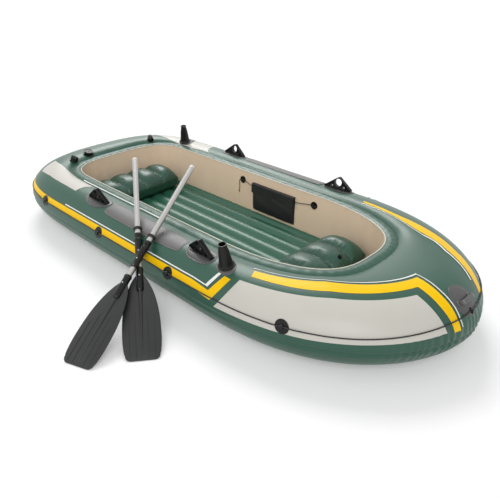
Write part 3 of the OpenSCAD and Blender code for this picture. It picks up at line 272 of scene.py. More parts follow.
def outline(a, bow_reach, stern_reach, half, bow, stern, pull):
    m = fold(a)
    t = m * 90 / BOW_END
    bow_t = np.minimum(t, 90)
    bow_part = quarter(bow_t - pull * np.sin(np.radians(2 * bow_t)), BOW_START, bow_reach, half, bow)
    stern_part = quarter(np.minimum((180 - m) * 90 / BOW_END, 90), STERN_START, -stern_reach, half, stern)
    side_x = BOW_START + (STERN_START - BOW_START) * (m - BOW_END) / (STERN_BEGIN - BOW_END)
    x = np.where(m <= BOW_END, bow_part[0], np.where(m < STERN_BEGIN, side_x, stern_part[0]))
    y = np.where(m <= BOW_END, bow_part[1], np.where(m < STERN_BEGIN, half, stern_part[1]))
    return np.stack([x, y * side_of(a)], -1)


def outer_plan(a):
    return outline(a, HALF_LEN - BOW_START, HALF_LEN + STERN_START, HALF_BEAM, BOW_CURVE, STERN_CURVE, 0)


def cockpit_plan(a):
    return outline(a, HALF_LEN - BOW_DECK - BOW_START, HALF_LEN + STERN_START - STERN_DECK, COCKPIT_HALF,
                   COCKPIT_BOW_CURVE, COCKPIT_STERN_CURVE, NOSE_PULL)


def deck(a):
    """Outer wall, unit vector inwards and width of the deck at a station."""
    outer = outer_plan(a)
    across = cockpit_plan(a) - outer
    w = np.linalg.norm(across, axis=-1)
    return outer, across / w[..., None], w


def crown_at(w):
    return np.minimum((w - RIM_W) * CROWN_IN / (SIDE_DECK - RIM_W), CROWN_IN_MAX)


def crown_rise(w):
    """Height of the crown above the seam: the wider the deck, the higher."""
    return CROWN_RISE + (crown_at(w) - CROWN_IN) * CROWN_GAIN


def tube(v, w):
    """The outer tube's section on a deck of width w: distance from the outer wall, and height."""
    crown, top = crown_at(w), crown_rise(w)
    t0, t1, t2 = (np.radians(90 * np.clip(t, 0, 1)) for t in (1 - v, v - 1, v - 2))
    inset = np.where(v <= 1, FOOT_IN * (1 - np.cos(t0)),
                     np.where(v <= 2, crown * (1 - np.cos(t1)), crown + (w - RIM_W - crown) * np.sin(t2)))
    down = VALLEY_H + (SEAM_H + top - VALLEY_H) * np.cos(t2)
    height = np.where(v <= 1, SEAM_H - (SEAM_H - SHEET_T) * np.sin(t0),
                      np.where(v <= 2, SEAM_H + top * np.sin(t1), down))
    return inset, height


def tube_point(a, v):
    a, v = np.broadcast_arrays(np.asarray(a, float), np.asarray(v, float))
    outer, inwards, w = deck(a)
    inset, height = tube(v, w)
    plan = outer + inwards * inset[..., None]
    return np.concatenate([plan, height[..., None]], -1)


def unit(v):
    return v / np.linalg.norm(v, axis=-1, keepdims=True)


def tube_normal(a, v):
    round_, up = 0.5, 0.02
    v = np.clip(v, up, 3 - up)
    return unit(np.cross(tube_point(a + round_, v) - tube_point(a - round_, v),
                         tube_point(a, v + up) - tube_point(a, v - up)))


ROUND = np.linspace(-360, 720, 2161)
RUN = np.concatenate([[0], np.cumsum(np.linalg.norm(np.diff(outer_plan(ROUND), axis=0), axis=1))])


def girth(a):
    """Distance round the outer wall from the nose, in metres."""
    return np.interp(a, ROUND, RUN) - np.interp(0.0, ROUND, RUN)


def fade(x, start, end):
    """From 1 at start to 0 at end, without a corner."""
    t = np.clip((x - start) / (end - start), 0, 1)
    return 1 - t * t * (3 - 2 * t)


def ridge(x, width):
    return np.exp(-(x / width) ** 2)


# The weld's groove runs a little below the widest line
WELD_LEVEL = 0.93


def relief(a, v):
    """How far the welded sheet stands off the smooth tube: the pinched seam, and pleats in tight curves."""
    s, m = girth(a), fold(a)
    seam = -0.0050 * ridge(v - WELD_LEVEL, 0.024) + 0.0016 * ridge(np.abs(v - WELD_LEVEL) - 0.06, 0.03)
    wander = 0.5 * np.sin(s * 21) + 0.35 * np.sin(s * 47 + 1)
    tight = fade(m, 16, 40) + 0.45 * fade(np.abs(m - 132), 4, 26)
    pleats = np.sin(s * 2 * np.pi / 0.036 + 2.2 * wander) * (0.75 + 0.25 * np.sin(s * 31))
    below = 0.0030 * tight * pleats * ridge(v - WELD_LEVEL, 0.23) * (1 - 0.6 * ridge(v - 1, 0.02))
    above = 0.0008 * tight * pleats * ridge(v - 1.12, 0.10)
    puckers = np.sin(s * 2 * np.pi / 0.055 + 2.5 * wander)
    valley = 0.0010 * (0.35 + fade(m, 25, 60) + fade(np.abs(m - 135), 6, 30)) * puckers * ridge(3 - v, 0.16)
    slow = 0.0012 * np.sin(s * 5.2) * np.sin(v * 2.2)
    return seam + below + above + valley + slow + VALLEY_FILL * ridge(3 - v, 0.20)


def hull_point(a, v, lift=0.0):
    a, v = np.broadcast_arrays(np.asarray(a, float), np.asarray(v, float))
    return tube_point(a, v) + tube_normal(a, v) * (relief(a, v) + lift)[..., None]


def station_of_x(x):
    if x > BOW_START:
        share = (x - BOW_START) / (HALF_LEN - BOW_START)
        return math.degrees(math.acos(share ** (BOW_CURVE[0] / 2))) * BOW_END / 90
    if x > STERN_START:
        return BOW_END + (STERN_BEGIN - BOW_END) * (BOW_START - x) / (BOW_START - STERN_START)
    share = (STERN_START - x) / (HALF_LEN + STERN_START)
    return 180 - math.degrees(math.acos(share ** (STERN_CURVE[0] / 2))) * BOW_END / 90


def station_of_y(y):
    return 180 - math.degrees(math.asin((y / HALF_BEAM) ** (STERN_CURVE[1] / 2))) * BOW_END / 90


def level_of_in(inset, w):
    crown = float(crown_at(w))
    if inset <= crown:
        return 1 + math.degrees(math.acos(1 - inset / crown)) / 90
    return 2 + math.degrees(math.asin((inset - crown) / (w - RIM_W - crown))) / 90


def level_of_h(h, w):
    return 1 + math.degrees(math.asin((h - SEAM_H) / float(crown_rise(w)))) / 90


def deck_w(a):
    return float(deck(np.asarray(float(a)))[2])


# The CAD hull is faceted, and its fittings stand on the facets
FACET_STATION, FACET_LEVELS = 5.0, 6


def facet_point(a, v):
    k, j = math.floor(a / FACET_STATION), math.floor(v * FACET_LEVELS)
    f, g = a / FACET_STATION - k, v * FACET_LEVELS - j
    corner = tube_point(np.array([[k, k], [k + 1, k + 1]]) * FACET_STATION,
                        np.array([[j, j + 1], [j, j + 1]]) / FACET_LEVELS)
    low = corner[0, 0] * (1 - f) + corner[1, 0] * f
    high = corner[0, 1] * (1 - f) + corner[1, 1] * f
    return low * (1 - g) + high * g


def facet_normal(a, v):
    return unit(np.cross(facet_point(a + 1, v) - facet_point(a - 1, v),
                         facet_point(a, v + 0.05) - facet_point(a, v - 0.05)))


def stand(point, normal):
    """Z along the normal, X down the slope."""
    return (Matrix.Translation(Vector(point)) @ Matrix.Rotation(math.atan2(normal[1], normal[0]), 4, "Z")
            @ Matrix.Rotation(math.acos(max(-1.0, min(1.0, normal[2]))), 4, "Y"))


def seat(a, v, lift=0.0):
    n = facet_normal(a, v)
    return stand(facet_point(a, v) + n * lift, n)


# ---- Building pieces ----------------------------------------------------------------------------
def piece(name, bm, material, body="hull", nodes=(), place=None, smooth=35, outwards=True):
    """Makes a finished piece of a bmesh: places it, dresses it and lets it ride on its body."""
    if place is not None:
        bmesh.ops.transform(bm, matrix=place, verts=bm.verts)
    bmesh.ops.remove_doubles(bm, verts=bm.verts, dist=1e-6)
    if outwards:
        bmesh.ops.recalc_face_normals(bm, faces=bm.faces)
    mesh = bpy.data.meshes.new(name)
    bm.to_mesh(mesh)
    bm.free()
    mesh.shade_smooth()
    mesh.set_sharp_from_angle(angle=math.radians(smooth))
    mesh.materials.append(material)
    obj = link_object(name, mesh)
    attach(obj, body)
    if nodes:
        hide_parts(*nodes)
    return obj


def laid_grid(across, around, place):
    """A bmesh grid whose points lie at place(s, t), with s and t from 0 to 1."""
    bm = bmesh.new()
    bm.loops.layers.uv.new("UVMap")
    bmesh.ops.create_grid(bm, x_segments=across, y_segments=around, size=0.5, calc_uvs=True)
    bm.verts.ensure_lookup_table()
    st = np.array([v.co[:2] for v in bm.verts]) + 0.5
    for vert, co in zip(bm.verts, place(st[:, 0], st[:, 1])):
        vert.co = co
    return bm


def spaced(s, stops):
    """Turns an even share s into places along stops, which holds (share, place) pairs."""
    return np.interp(s, [stop[0] for stop in stops], [stop[1] for stop in stops])


def tube_round(path, radius, sides, closed=False):
    """Sweeps a circle along a path of points that has no sharp corners."""
    path = np.array(path, float)
    ahead = np.roll(path, -1, 0) - np.roll(path, 1, 0)
    if not closed:
        ahead[0], ahead[-1] = path[1] - path[0], path[-1] - path[-2]
    ahead = unit(ahead)
    side = np.zeros_like(ahead)
    side[0] = unit(np.cross(ahead[0], [0.1, 0.2, 1.0]))
    for i in range(1, len(path)):
        side[i] = unit(side[i - 1] - ahead[i] * np.dot(side[i - 1], ahead[i]))
    if closed:
        side = unit(np.cross(ahead, [0, 0, 1.0]))
    up = np.cross(side, ahead)
    n = len(path) + (1 if closed else 0)

    def place(s, t):
        i = np.round(s * (n - 1)).astype(int) % len(path)
        turn = 2 * np.pi * t
        return path[i] + (side[i] * np.cos(turn)[:, None] + up[i] * np.sin(turn)[:, None]) * radius
    bm = laid_grid(n - 1, sides, place)
    bmesh.ops.remove_doubles(bm, verts=bm.verts, dist=1e-6)
    if not closed:
        bmesh.ops.holes_fill(bm, edges=[e for e in bm.edges if e.is_boundary], sides=sides + 1)
    return bm


def make_outer_chamber():
    # The nose's pleats need closer stations than the sides
    stops = [(0, -180), (0.22, -50), (0.5, 0), (0.78, 50), (1, 180)]
    bm = laid_grid(620, 84, lambda s, t: hull_point(spaced(s, stops), 3 * t))
    piece("outer_chamber_skin", bm, hull_vinyl, nodes=["outer_chamber"], smooth=60)


def rim_point(a, t, lift=0.0):
    """The flat inner tube's top from the valley (t 0) over its crown to the cockpit's edge (t 1)."""
    outer, inwards, w = deck(a)
    s = girth(a)
    arch = np.sin(np.pi * t)
    puckers = np.sin(s * 2 * np.pi / 0.0115 + 1.6 * np.sin(s * 23)) * (0.7 + 0.3 * np.sin(s * 9))
    height = VALLEY_H + (EDGE_H - VALLEY_H) * t + RIM_CROWN * arch ** 1.2 + VALLEY_FILL * ridge(t, 0.30)
    height = height + 0.0006 * puckers * ridge(t - 0.16, 0.16) + 0.0006 * np.sin(s * 2 * np.pi / 0.09) * arch
    plan = outer + inwards * (w - RIM_W * (1 - t))[..., None]
    return np.concatenate([plan, (height + lift)[..., None]], -1)


def make_rim():
    bm = laid_grid(1600, 20, lambda s, t: rim_point(360 * s, t))
    piece("inner_rim_skin", bm, hull_vinyl, smooth=60)


PIPING_R, PIPING_UP = 0.0028, 0.0015


def make_edge_piping():
    """The welded bead where the deck's sheet meets the cockpit's wall."""
    a = np.arange(0, 360, 0.75)
    outer, inwards, w = deck(a)
    path = np.concatenate([outer + inwards * w[:, None], np.full((len(a), 1), EDGE_H + PIPING_UP)], -1)
    bead = tube_round(path, PIPING_R, 8, closed=True)
    piece("cockpit_edge_piping", bead, piping_vinyl, smooth=80)


def wall_point(a, t):
    """The cockpit's wall from its edge (t 0) down to the floor (t 1)."""
    outer, inwards, w = deck(a)
    pulls = 0.0010 * np.sin(girth(a) * 2 * np.pi / 0.16) * np.sin(np.pi * t)
    plan = outer + inwards * (w + WALL_BULGE * np.sin(np.pi * t) + pulls)[..., None]
    return np.concatenate([plan, (EDGE_H + (SHEET_T - EDGE_H) * t)[..., None]], -1)


def make_wall():
    bm = laid_grid(360, 24, lambda s, t: wall_point(360 * s, t))
    piece("cockpit_wall_skin", bm, wall_vinyl, nodes=["inner_chamber"], smooth=60)


def floor_half(x):
    m = np.linspace(0, 180, 721)
    plan = cockpit_plan(m)
    return np.interp(-x, -plan[:, 0], plan[:, 1])


def floor_point(s, t):
    ends = cockpit_plan(np.array([0.0, 180.0]))[:, 0] - np.array([1, -1]) * (WALL_BULGE + SEAT_GAP)
    x = ends[1] + (ends[0] - ends[1]) * (0.5 - 0.5 * np.cos(np.pi * s))
    half = np.maximum(floor_half(x) - WALL_BULGE - SEAT_GAP, 0)
    y = half * (2 * t - 1)
    share = y / RIB_PITCH - np.round(y / RIB_PITCH)
    height = RIB_CREST - RIB_DEPTH * np.abs(2 * share) ** RIB_CURVE
    edge = fade(np.minimum(ends[0] - x, x - ends[1]), 0.0, 0.07)
    side = fade(half - np.abs(y), 0.0, 0.03)
    return np.stack([x, y, height - 0.020 * edge ** 2 - 0.008 * side ** 2], -1)


def make_floor():
    bm = laid_grid(240, 176, lambda s, t: floor_point(s, t))
    piece("floor_ribs_skin", bm, floor_vinyl, nodes=["floor_chamber"], smooth=60)


def make_bottom():
    def place(s, t):
        outer, inwards, _ = deck(360 * s)
        plan = (outer + inwards * FOOT_IN) * t[..., None]
        return np.concatenate([plan, (0.0012 + 0 * t)[..., None]], -1)
    bm = laid_grid(180, 24, place)
    obj = piece("bottom_sheet_skin", bm, bottom_vinyl, nodes=["bottom_sheet"])
    thick = obj.modifiers.new("sheet", "SOLIDIFY")
    thick.thickness, thick.offset = 0.0024, 0.0


make_outer_chamber()
make_rim()
make_edge_piping()
make_wall()
make_floor()
make_bottom()

# ---- The grab line's level -----------------------------------------------------------------------
ROPE_D, DISC_T = 0.006, 0.0035
ROPE_H, BOW_RISE, BOW_RISE_CURVE = 0.214, 0.032, 6
ROPE_LIFT = DISC_T + ROPE_D / 2 + 2 * SEAT_GAP
HOLDER_X, HOLDER_STERN_Y = (0.943, 0.277, -0.319, -0.919), 0.330


def rope_level(a):
    h = ROPE_H + BOW_RISE * max(0.0, math.cos(math.radians(a))) ** BOW_RISE_CURVE
    return level_of_h(h, deck_w(a))


# ---- Printed bands and panels -------------------------------------------------------------------
INK_LIFT, LINE_LIFT = 0.0008, 0.0022


def ribbon(name, pairs, side, material, lift=INK_LIFT, across=6, of=hull_point):
    """A printed band. Each pair holds its lower and its upper edge, as (station from the nose, level)."""
    pairs = np.array(pairs, float)
    middle = pairs.mean(1)
    steps = np.linalg.norm(np.diff(middle, axis=0) * [1, 20], axis=1)
    counts = [max(1, int(round(step / 0.6))) for step in steps]
    along = np.concatenate([[0], np.concatenate([np.full(n, 1 / n) for n in counts]).cumsum()])
    knots = np.arange(len(pairs))

    def place(s, t):
        at = np.interp(s * sum(counts), np.arange(sum(counts) + 1), along)
        edge = [np.interp(at, knots, pairs[:, i, j]) for i in (0, 1) for j in (0, 1)]
        return of(side * (edge[0] * (1 - t) + edge[2] * t), edge[1] * (1 - t) + edge[3] * t, lift)
    bm = laid_grid(sum(counts), across, place)
    if side > 0:
        bmesh.ops.reverse_faces(bm, faces=bm.faces)
    piece(name, bm, material, smooth=60, outwards=False)


def print_bands():
    # The lower stripe runs from one bow quarter round the stern to the other and rises in a hook at both ends
    hook = [((67.1, 1.63), (68.5, 1.645)), ((70.1, 1.137), (70.65, 1.295))]
    stops = (73.5, 76, 83, 91, 100, 106, 116, 130, 145, 162, 180)
    run = [((m, rope_level(m) - 0.005), (m, rope_level(m) + 0.145)) for m in stops]
    half = hook + run
    other = [((360 - lo[0], lo[1]), (360 - hi[0], hi[1])) for lo, hi in reversed(half[:-1])]
    ribbon("lower_stripe", half + other, -1, yellow_ink)
    # Painted shade: a dark band along the stripe's lower edge, just under the grab line, where the line's
    # shadow falls on the tube
    outline = [((lo[0], lo[1] - 0.02), lo) for lo, hi in run]
    outline += [((360 - lo[0], lo[1] - 0.02), (360 - lo[0], lo[1])) for lo, hi in reversed(run[:-1])]
    ribbon("lower_stripe_painted_shade", outline, -1, grab_line_shade_paint, across=1)
    for side, word in SIDES:
        pin = [((69.25, 1.655), (69.8, 1.66)), ((70.85, 1.35), (71.3, 1.375))]
        pin += [((m, rope_level(m) + 0.180), (m, rope_level(m) + 0.205))
                for m in (73.5, 76, 83, 91, 100, 105.3)]
        ribbon("pinstripe_lower_" + word, pin, side, white_ink_and_painted_highlight, LINE_LIFT, across=2)
    # The bow deck's stripe, with its arm down over the nose
    deck_stripe = [((63.2, 1.81), (62.9, 1.946)), ((49.5, 1.818), (49.4, 1.99)),
                   ((35.8, 1.836), (33.75, 2.015)), ((12.45, 1.87), (6.35, 2.026)),
                   ((12.18, 1.535), (7.9, 1.683)), ((11.5, 1.294), (8.6, 1.311)), ((11.2, 1.12), (8.4, 1.12))]
    ribbon("bow_stripe_starboard", deck_stripe, -1, yellow_ink)
    pin = [((63.3, 1.99), (63.2, 2.02)), ((49.3, 2.065), (49.2, 2.092)), ((33.3, 2.075), (33.2, 2.102)),
           ((4.6, 2.07), (3.9, 2.095)), ((6.7, 1.722), (6.1, 1.722)), ((7.8, 1.294), (7.3, 1.294)),
           ((7.5, 1.16), (7.1, 1.16))]
    ribbon("pinstripe_bow_starboard", pin, -1, white_ink_and_painted_highlight, LINE_LIFT, across=2)
    panel = [((69.25, 1.05), (65.3, 1.68)), ((50, 1.08), (45, 1.72)), ((34, 1.12), (30, 1.74)),
             ((14, 1.16), (16.25, 1.76))]
    ribbon("bow_panel_starboard", panel, -1, bone_ink, across=24)
    # Each stern quarter carries a pale wedge that narrows aft
    for side, word in SIDES:
        wedge = [((134.4, 1.574), (146.9, 1.79)), ((128, 1.67), (138.6, 1.987)),
                 ((121.5, 1.748), (131.3, 2.305)), ((113, 1.79), (118, 2.85)), ((108, 1.80), (109.5, 2.93)),
                 ((105.4, 1.79), (105, 2.66))]
        ribbon("stern_panel_" + word, wedge, side, bone_ink, across=24)
        # Painted highlight: a pale line along the weld where the deck meets the rim, standing in for the
        # weld's gloss
        seam = [((m, 0.09), (m, 0.20)) for m in np.linspace(86.7, 108.5, 12)]
        ribbon("valley_weld_painted_highlight_" + word, seam, side, white_ink_and_painted_highlight, LINE_LIFT, across=2, of=rim_point)
    port_stripe = [((66.45, 2.105), (65.3, 2.27)), ((51.6, 1.96), (48.0, 2.127)),
                   ((38.9, 1.777), (33.7, 1.91)), ((30.5, 1.665), (26.5, 1.80)), ((24.3, 1.514), (20.7, 1.65)),
                   ((21.1, 1.421), (17.1, 1.525)), ((18.5, 1.363), (14.9, 1.44)), ((16.6, 1.25), (12.9, 1.32))]
    ribbon("bow_stripe_port", port_stripe, 1, yellow_ink)
    pin = [((65.5, 2.365), (65.4, 2.39)), ((41.9, 2.10), (41.6, 2.128)), ((31.9, 1.90), (31.4, 1.925)),
           ((25.3, 1.82), (24.7, 1.845)), ((20.2, 1.68), (19.6, 1.70)), ((14.3, 1.51), (13.6, 1.525))]
    ribbon("pinstripe_bow_port", pin, 1, white_ink_and_painted_highlight, LINE_LIFT, across=2)


print_bands()


# ---- Patches ------------------------------------------------------------------------------------
def metric(a, v):
    """Stations and levels for each metre along and down the tube, near a point."""
    along = np.linalg.norm(tube_point(a + 0.5, v) - tube_point(a - 0.5, v))
    down = np.linalg.norm(tube_point(a, v + 0.01) - tube_point(a, v - 0.01)) / 0.02
    return 1 / along, 1 / down


def power(base, exponent):
    return np.sign(base) * np.abs(base) ** exponent


def sheet_outline(s, inside, length, width, square):
    """Points of a flat piece at turn s, a distance in from its edge. square 2 is an oval, more is boxier."""
    turn = 2 * np.pi * s
    return ((width / 2 - inside) * power(np.cos(turn), 2 / square),
            (length / 2 - inside) * power(np.sin(turn), 2 / square))


# Height of a welded sheet's face by the distance from its edge: rounded edge, then the weld's groove
WELD = [(0, 0), (0.4, 1.4), (1.4, 2.4), (4.5, 2.5), (5.8, 1.8), (7.2, 1.8), (8.5, 2.5)]
DISC = [(0, 0), (0.3, 2.4), (1.0, 3.5), (3.0, 3.6), (4.2, 2.6), (7.0, 2.4)]


def rings(profile, reach, count):
    """Distances from the edge and heights of a profile in mm, carried on level as far as reach."""
    insides = [d * MM for d, _ in profile]
    spread = list(np.linspace(insides[-1], reach, count)[1:])
    return insides + spread, [h * MM for _, h in profile] + [profile[-1][1] * MM] * len(spread)


def on_tube(s, t, length, width, square, a, v, insides, heights, lift=0.0):
    """Points of a flat piece that follows the tube, in rings from its edge (t 0) to its middle (t 1)."""
    ring = t * (len(insides) - 1)
    x, y = sheet_outline(s, np.interp(ring, range(len(insides)), insides), length, width, square)
    per_along, per_down = metric(a, v)
    stations, levels = a + y * per_along, v - x * per_down
    height = np.interp(ring, range(len(insides)), heights) + lift
    return tube_point(stations, levels) + tube_normal(stations, levels) * height[:, None]


def welded(name, a, v, length, width, square, nodes, material=patch_vinyl, around=96):
    """A welded sheet on the tube."""
    insides, heights = rings(WELD, width / 2, 8)
    bm = laid_grid(around, len(insides) - 1,
                   lambda s, t: on_tube(s, t, length, width, square, a, v, insides, heights))
    bmesh.ops.remove_doubles(bm, verts=bm.verts, dist=1e-5)
    bmesh.ops.recalc_face_normals(bm, faces=bm.faces)
    low = min(bm.faces, key=lambda f: (f.calc_center_median() - Vector(tube_point(a, v))).length)
    if low.normal.dot(Vector(tube_normal(np.array([float(a)]), np.array([float(v)]))[0])) < 0:
        bmesh.ops.reverse_faces(bm, faces=bm.faces)
    piece(name, bm, material, nodes=nodes, smooth=50, outwards=False)


OARLOCK_X, OARLOCK_IN, OARLOCK_PATCH = (0.410, -0.490), 0.138, (0.216, 0.124)
RUB_PAD_X, RUB_PAD_IN, RUB_PAD = -0.052, 0.128, (0.640, 0.112)
ROD_PATCH_D, BOW_PATCH_LEVEL, BOW_PATCH = 0.108, 1.47, (0.120, 0.152)
# How boxy an outline is: 2 is an oval
OVAL, BOXY = 2, 7
ROD_X, ROD_IN = {-1: 0.605, 1: -1.006}, {-1: 0.140, 1: 0.196}
oarlock_level = level_of_in(OARLOCK_IN, SIDE_DECK)


def rod_spot(side):
    a = station_of_x(ROD_X[side])
    return side * a, level_of_in(ROD_IN[side], deck_w(a))


def weld_patches():
    for side, word in SIDES:
        for x, end in zip(OARLOCK_X, ("fwd", "aft")):
            welded(f"oarlock_patch_{word}_{end}_skin", side * station_of_x(x), oarlock_level, *OARLOCK_PATCH,
                   OVAL, [f"oarlock_patch_{word}_{end}"], dark_patch_vinyl)
        welded(f"rub_pad_{word}_skin", side * station_of_x(RUB_PAD_X), level_of_in(RUB_PAD_IN, SIDE_DECK),
               *RUB_PAD, BOXY, [f"rub_pad_{word}"], around=160)
        welded(f"rod_holder_patch_{word}_skin", *rod_spot(side), ROD_PATCH_D, ROD_PATCH_D, OVAL,
               [f"rod_holder_patch_{word}"])
    welded("bow_patch_skin", 0, BOW_PATCH_LEVEL, *BOW_PATCH, OVAL, ["bow_patch"], dark_patch_vinyl)


weld_patches()


# ---- Moulded fittings ---------------------------------------------------------------------------
def lathe(profile, steps=48):
    """Turns a profile of (radius, height) round Z."""
    bm = bmesh.new()
    verts = [bm.verts.new((r, 0, z)) for r, z in profile]
    edges = [bm.edges.new(pair) for pair in zip(verts, verts[1:])]
    bmesh.ops.spin(bm, geom=verts + edges, axis=(0, 0, 1), cent=(0, 0, 0), steps=steps, angle=2 * math.pi,
                   use_merge=True)
    bmesh.ops.remove_doubles(bm, verts=bm.verts, dist=1e-6)
    return bm


def in_metres(points):
    return [tuple(c * MM for c in point) for point in points]


def arc(centre, radius, start, end, steps):
    """Points of an arc in degrees."""
    turns = [math.radians(start + (end - start) * i / steps) for i in range(steps + 1)]
    return [(centre[0] + radius * math.cos(t), centre[1] + radius * math.sin(t)) for t in turns]


def pierced(outline_points, holes, thickness, bevel):
    """A plate of an outline with round holes, its edges rounded. It lies in XY and is centred on Z."""
    bm = bmesh.new()
    for loop in [outline_points] + [arc(centre, radius, 0, 360, 32)[:-1] for centre, radius in holes]:
        verts = [bm.verts.new((x, y, -thickness / 2)) for x, y in loop]
        for pair in zip(verts, verts[1:] + verts[:1]):
            bm.edges.new(pair)
    bmesh.ops.triangle_fill(bm, edges=bm.edges[:], use_beauty=True)
    made = bmesh.ops.extrude_face_region(bm, geom=bm.faces[:])["geom"]
    lifted = [g for g in made if isinstance(g, bmesh.types.BMVert)]
    bmesh.ops.translate(bm, vec=(0, 0, thickness), verts=lifted)
    bmesh.ops.recalc_face_normals(bm, faces=bm.faces)
    sharp = [e for e in bm.edges if e.is_manifold and e.calc_face_angle() > 1.2]
    bmesh.ops.bevel(bm, geom=sharp, offset=bevel, offset_type="OFFSET", affect="EDGES", segments=2,
                    profile=0.5, material=-1)
    return bm


def joined(*parts):
    """One bmesh of several."""
    mesh = bpy.data.meshes.new("part")
    whole = bmesh.new()
    for part in parts:
        part.to_mesh(mesh)
        part.free()
        whole.from_mesh(mesh)
    bpy.data.meshes.remove(mesh)
    return whole


def moved(bm, *matrices):
    matrix = Matrix.Identity(4)
    for m in matrices:
        matrix = matrix @ m
    bmesh.ops.transform(bm, matrix=matrix, verts=bm.verts)
    return bm


def block(size, at=(0, 0, 0), bevel=0.0):
    bm = bmesh.new()
    bmesh.ops.create_cube(bm, size=1, matrix=Matrix.Translation(at) @ Matrix.Diagonal((*size, 1)))
    if bevel:
        bmesh.ops.bevel(bm, geom=bm.edges[:], offset=bevel, offset_type="OFFSET", affect="EDGES", segments=3,
                        profile=0.5, material=-1)
    return bm


FLAT_TO_UPRIGHT = Matrix.Rotation(math.radians(90), 4, "Z") @ Matrix.Rotation(math.radians(90), 4, "X")


def oarlock(side, word, x, end):
    """An open triangular frame with one large and two small eyes, on a foot."""
    a = side * station_of_x(x)
    spot = seat(a, oarlock_level, PATCH_LIFT)
    half, top, nose_r, toe_r, leg = 0.087, 0.072, 0.013, 0.006, 50
    web_t, flange_w, flange_t = 0.010, 0.024, 0.003

    def triangle(toe, nose_steps):
        return (arc((half - toe_r, toe_r), toe_r, toe, leg, 6)
                + arc((0, top - nose_r), nose_r, leg, 180 - leg, nose_steps)
                + arc((toe_r - half, toe_r), toe_r, 180 - leg, 180 - toe, 6))
    eyes = [((0, 0.040), 0.023), ((0.038, 0.015), 0.0075), ((-0.038, 0.015), 0.0075)]
    parts = [moved(pierced(triangle(-90, 10), eyes, web_t, 0.0012), FLAT_TO_UPRIGHT)]
    for centre, radius in eyes:
        lip = [(0, 11), (3, 12), (4, 11)]
        lip = [(d, -z) for d, z in lip] + [(d, z) for d, z in reversed(lip)] + [(0, -11)]
        eyelet = lathe([(radius + d * MM, z * MM) for d, z in lip], 40)
        parts.append(moved(eyelet, FLAT_TO_UPRIGHT, Matrix.Translation((*centre, 0))))
    ring = np.array(triangle(-60, 12))

    def flange(s, t):
        at = s * (len(ring) - 1)
        y, z = (np.interp(at, range(len(ring)), ring[:, i]) for i in (0, 1))
        return np.stack([flange_w * (t - 0.5), y, z], -1)
    strip = laid_grid(2 * (len(ring) - 1), 4, flange)
    bmesh.ops.recalc_face_normals(strip, faces=strip.faces)
    bmesh.ops.solidify(strip, geom=strip.faces[:], thickness=flange_t)
    parts.append(strip)
    foot = laid_grid(56, 7, lambda s, t: foot_point(s, t, 0.178, 0.036, 6, a, oarlock_level, spot))
    parts.append(foot)
    piece(f"oarlock_{word}_{end}_frame", joined(*parts), moulded_black, nodes=[f"oarlock_{word}_{end}"],
          place=spot)


FOOT = [(0, 0), (0.2, 3.0), (1.2, 4.0), (3.0, 4.0)]
STERN_FOOT = [(0, 0), (0.2, 2.8), (1.1, 3.7), (2.8, 3.7), (3.8, 3.1), (5.0, 3.1), (6.0, 3.7)]


def foot_point(s, t, length, width, square, a, v, spot, profile=FOOT, lift=PATCH_LIFT):
    """A foot that follows the tube, in the axes of the spot that it stands on."""
    world = on_tube(s, t, length, width, square, a, v, *rings(profile, width / 2, 5), lift)
    back = np.array(spot.inverted())
    return world @ back[:3, :3].T + back[:3, 3]


def rod_holder(side, word):
    """A hollow tapered socket with a rolled lip and a stepped root."""
    a, v = rod_spot(side)
    spot = seat(a, v, PATCH_LIFT)
    profile = in_metres([(41, 0), (41, 3), (39.5, 5), (36, 6), (34.5, 9), (32.8, 14), (31.6, 22), (24.5, 84),
                         (19.4, 108), (18.5, 113), (18.6, 115), (20.3, 116), (21, 118), (21, 121),
                         (20.2, 122), (17, 122), (15.8, 120), (15.5, 116), (15.5, 14), (0, 13)])
    piece(f"rod_holder_{word}_socket", lathe(profile), moulded_black, nodes=[f"rod_holder_{word}"],
          place=spot)


def make_deck_fittings():
    for side, word in SIDES:
        for x, end in zip(OARLOCK_X, ("fwd", "aft")):
            oarlock(side, word, x, end)
        rod_holder(side, word)


make_deck_fittings()


# ---- Grab line and its holders ------------------------------------------------------------------
ROPE_SAG, ROPE_REST = 0.001, 0.0006


def make_grab_line():
    """The line lies on the tube between its holders, sags a little there and rises to run through each."""
    holders = sorted([side * station_of_x(x) % 360 for x in HOLDER_X for side in (1, -1)]
                     + [side * station_of_y(HOLDER_STERN_Y) % 360 for side in (1, -1)] + [0.0, 360.0])
    stations = np.arange(0, 360, 0.75)
    path = []
    for a in stations:
        nearest = min(abs(girth(a) - girth(h)) for h in holders)
        lift = ROPE_LIFT - (ROPE_LIFT - ROPE_D / 2 - ROPE_REST) * (1 - float(fade(nearest, 0.035, 0.12)))
        before = max(h for h in holders if h <= a)
        after = min(h for h in holders if h > a)
        share = (a - before) / (after - before)
        sag = ROPE_SAG * 4 * share * (1 - share) * (girth(after) - girth(before)) / 0.65
        k = math.floor(a / FACET_STATION)
        flat = [rope_level(k * FACET_STATION), rope_level((k + 1) * FACET_STATION)]
        level = np.interp(a / FACET_STATION - k, [0, 1], flat) - sag / 0.25
        near = 1 - float(fade(nearest, 0.0, 0.05))
        smooth = hull_point(np.array([a]), np.array([level]), lift)[0]
        level0 = rope_level(a)
        held = facet_point(a, level0) + facet_normal(a, level0) * ROPE_LIFT
        path.append(held * (1 - near) + smooth * near)
    bm = tube_round(path, ROPE_D / 2, 10, closed=True)
    piece("grab_line_rope", bm, rope_black, nodes=["grab_line"], smooth=80)


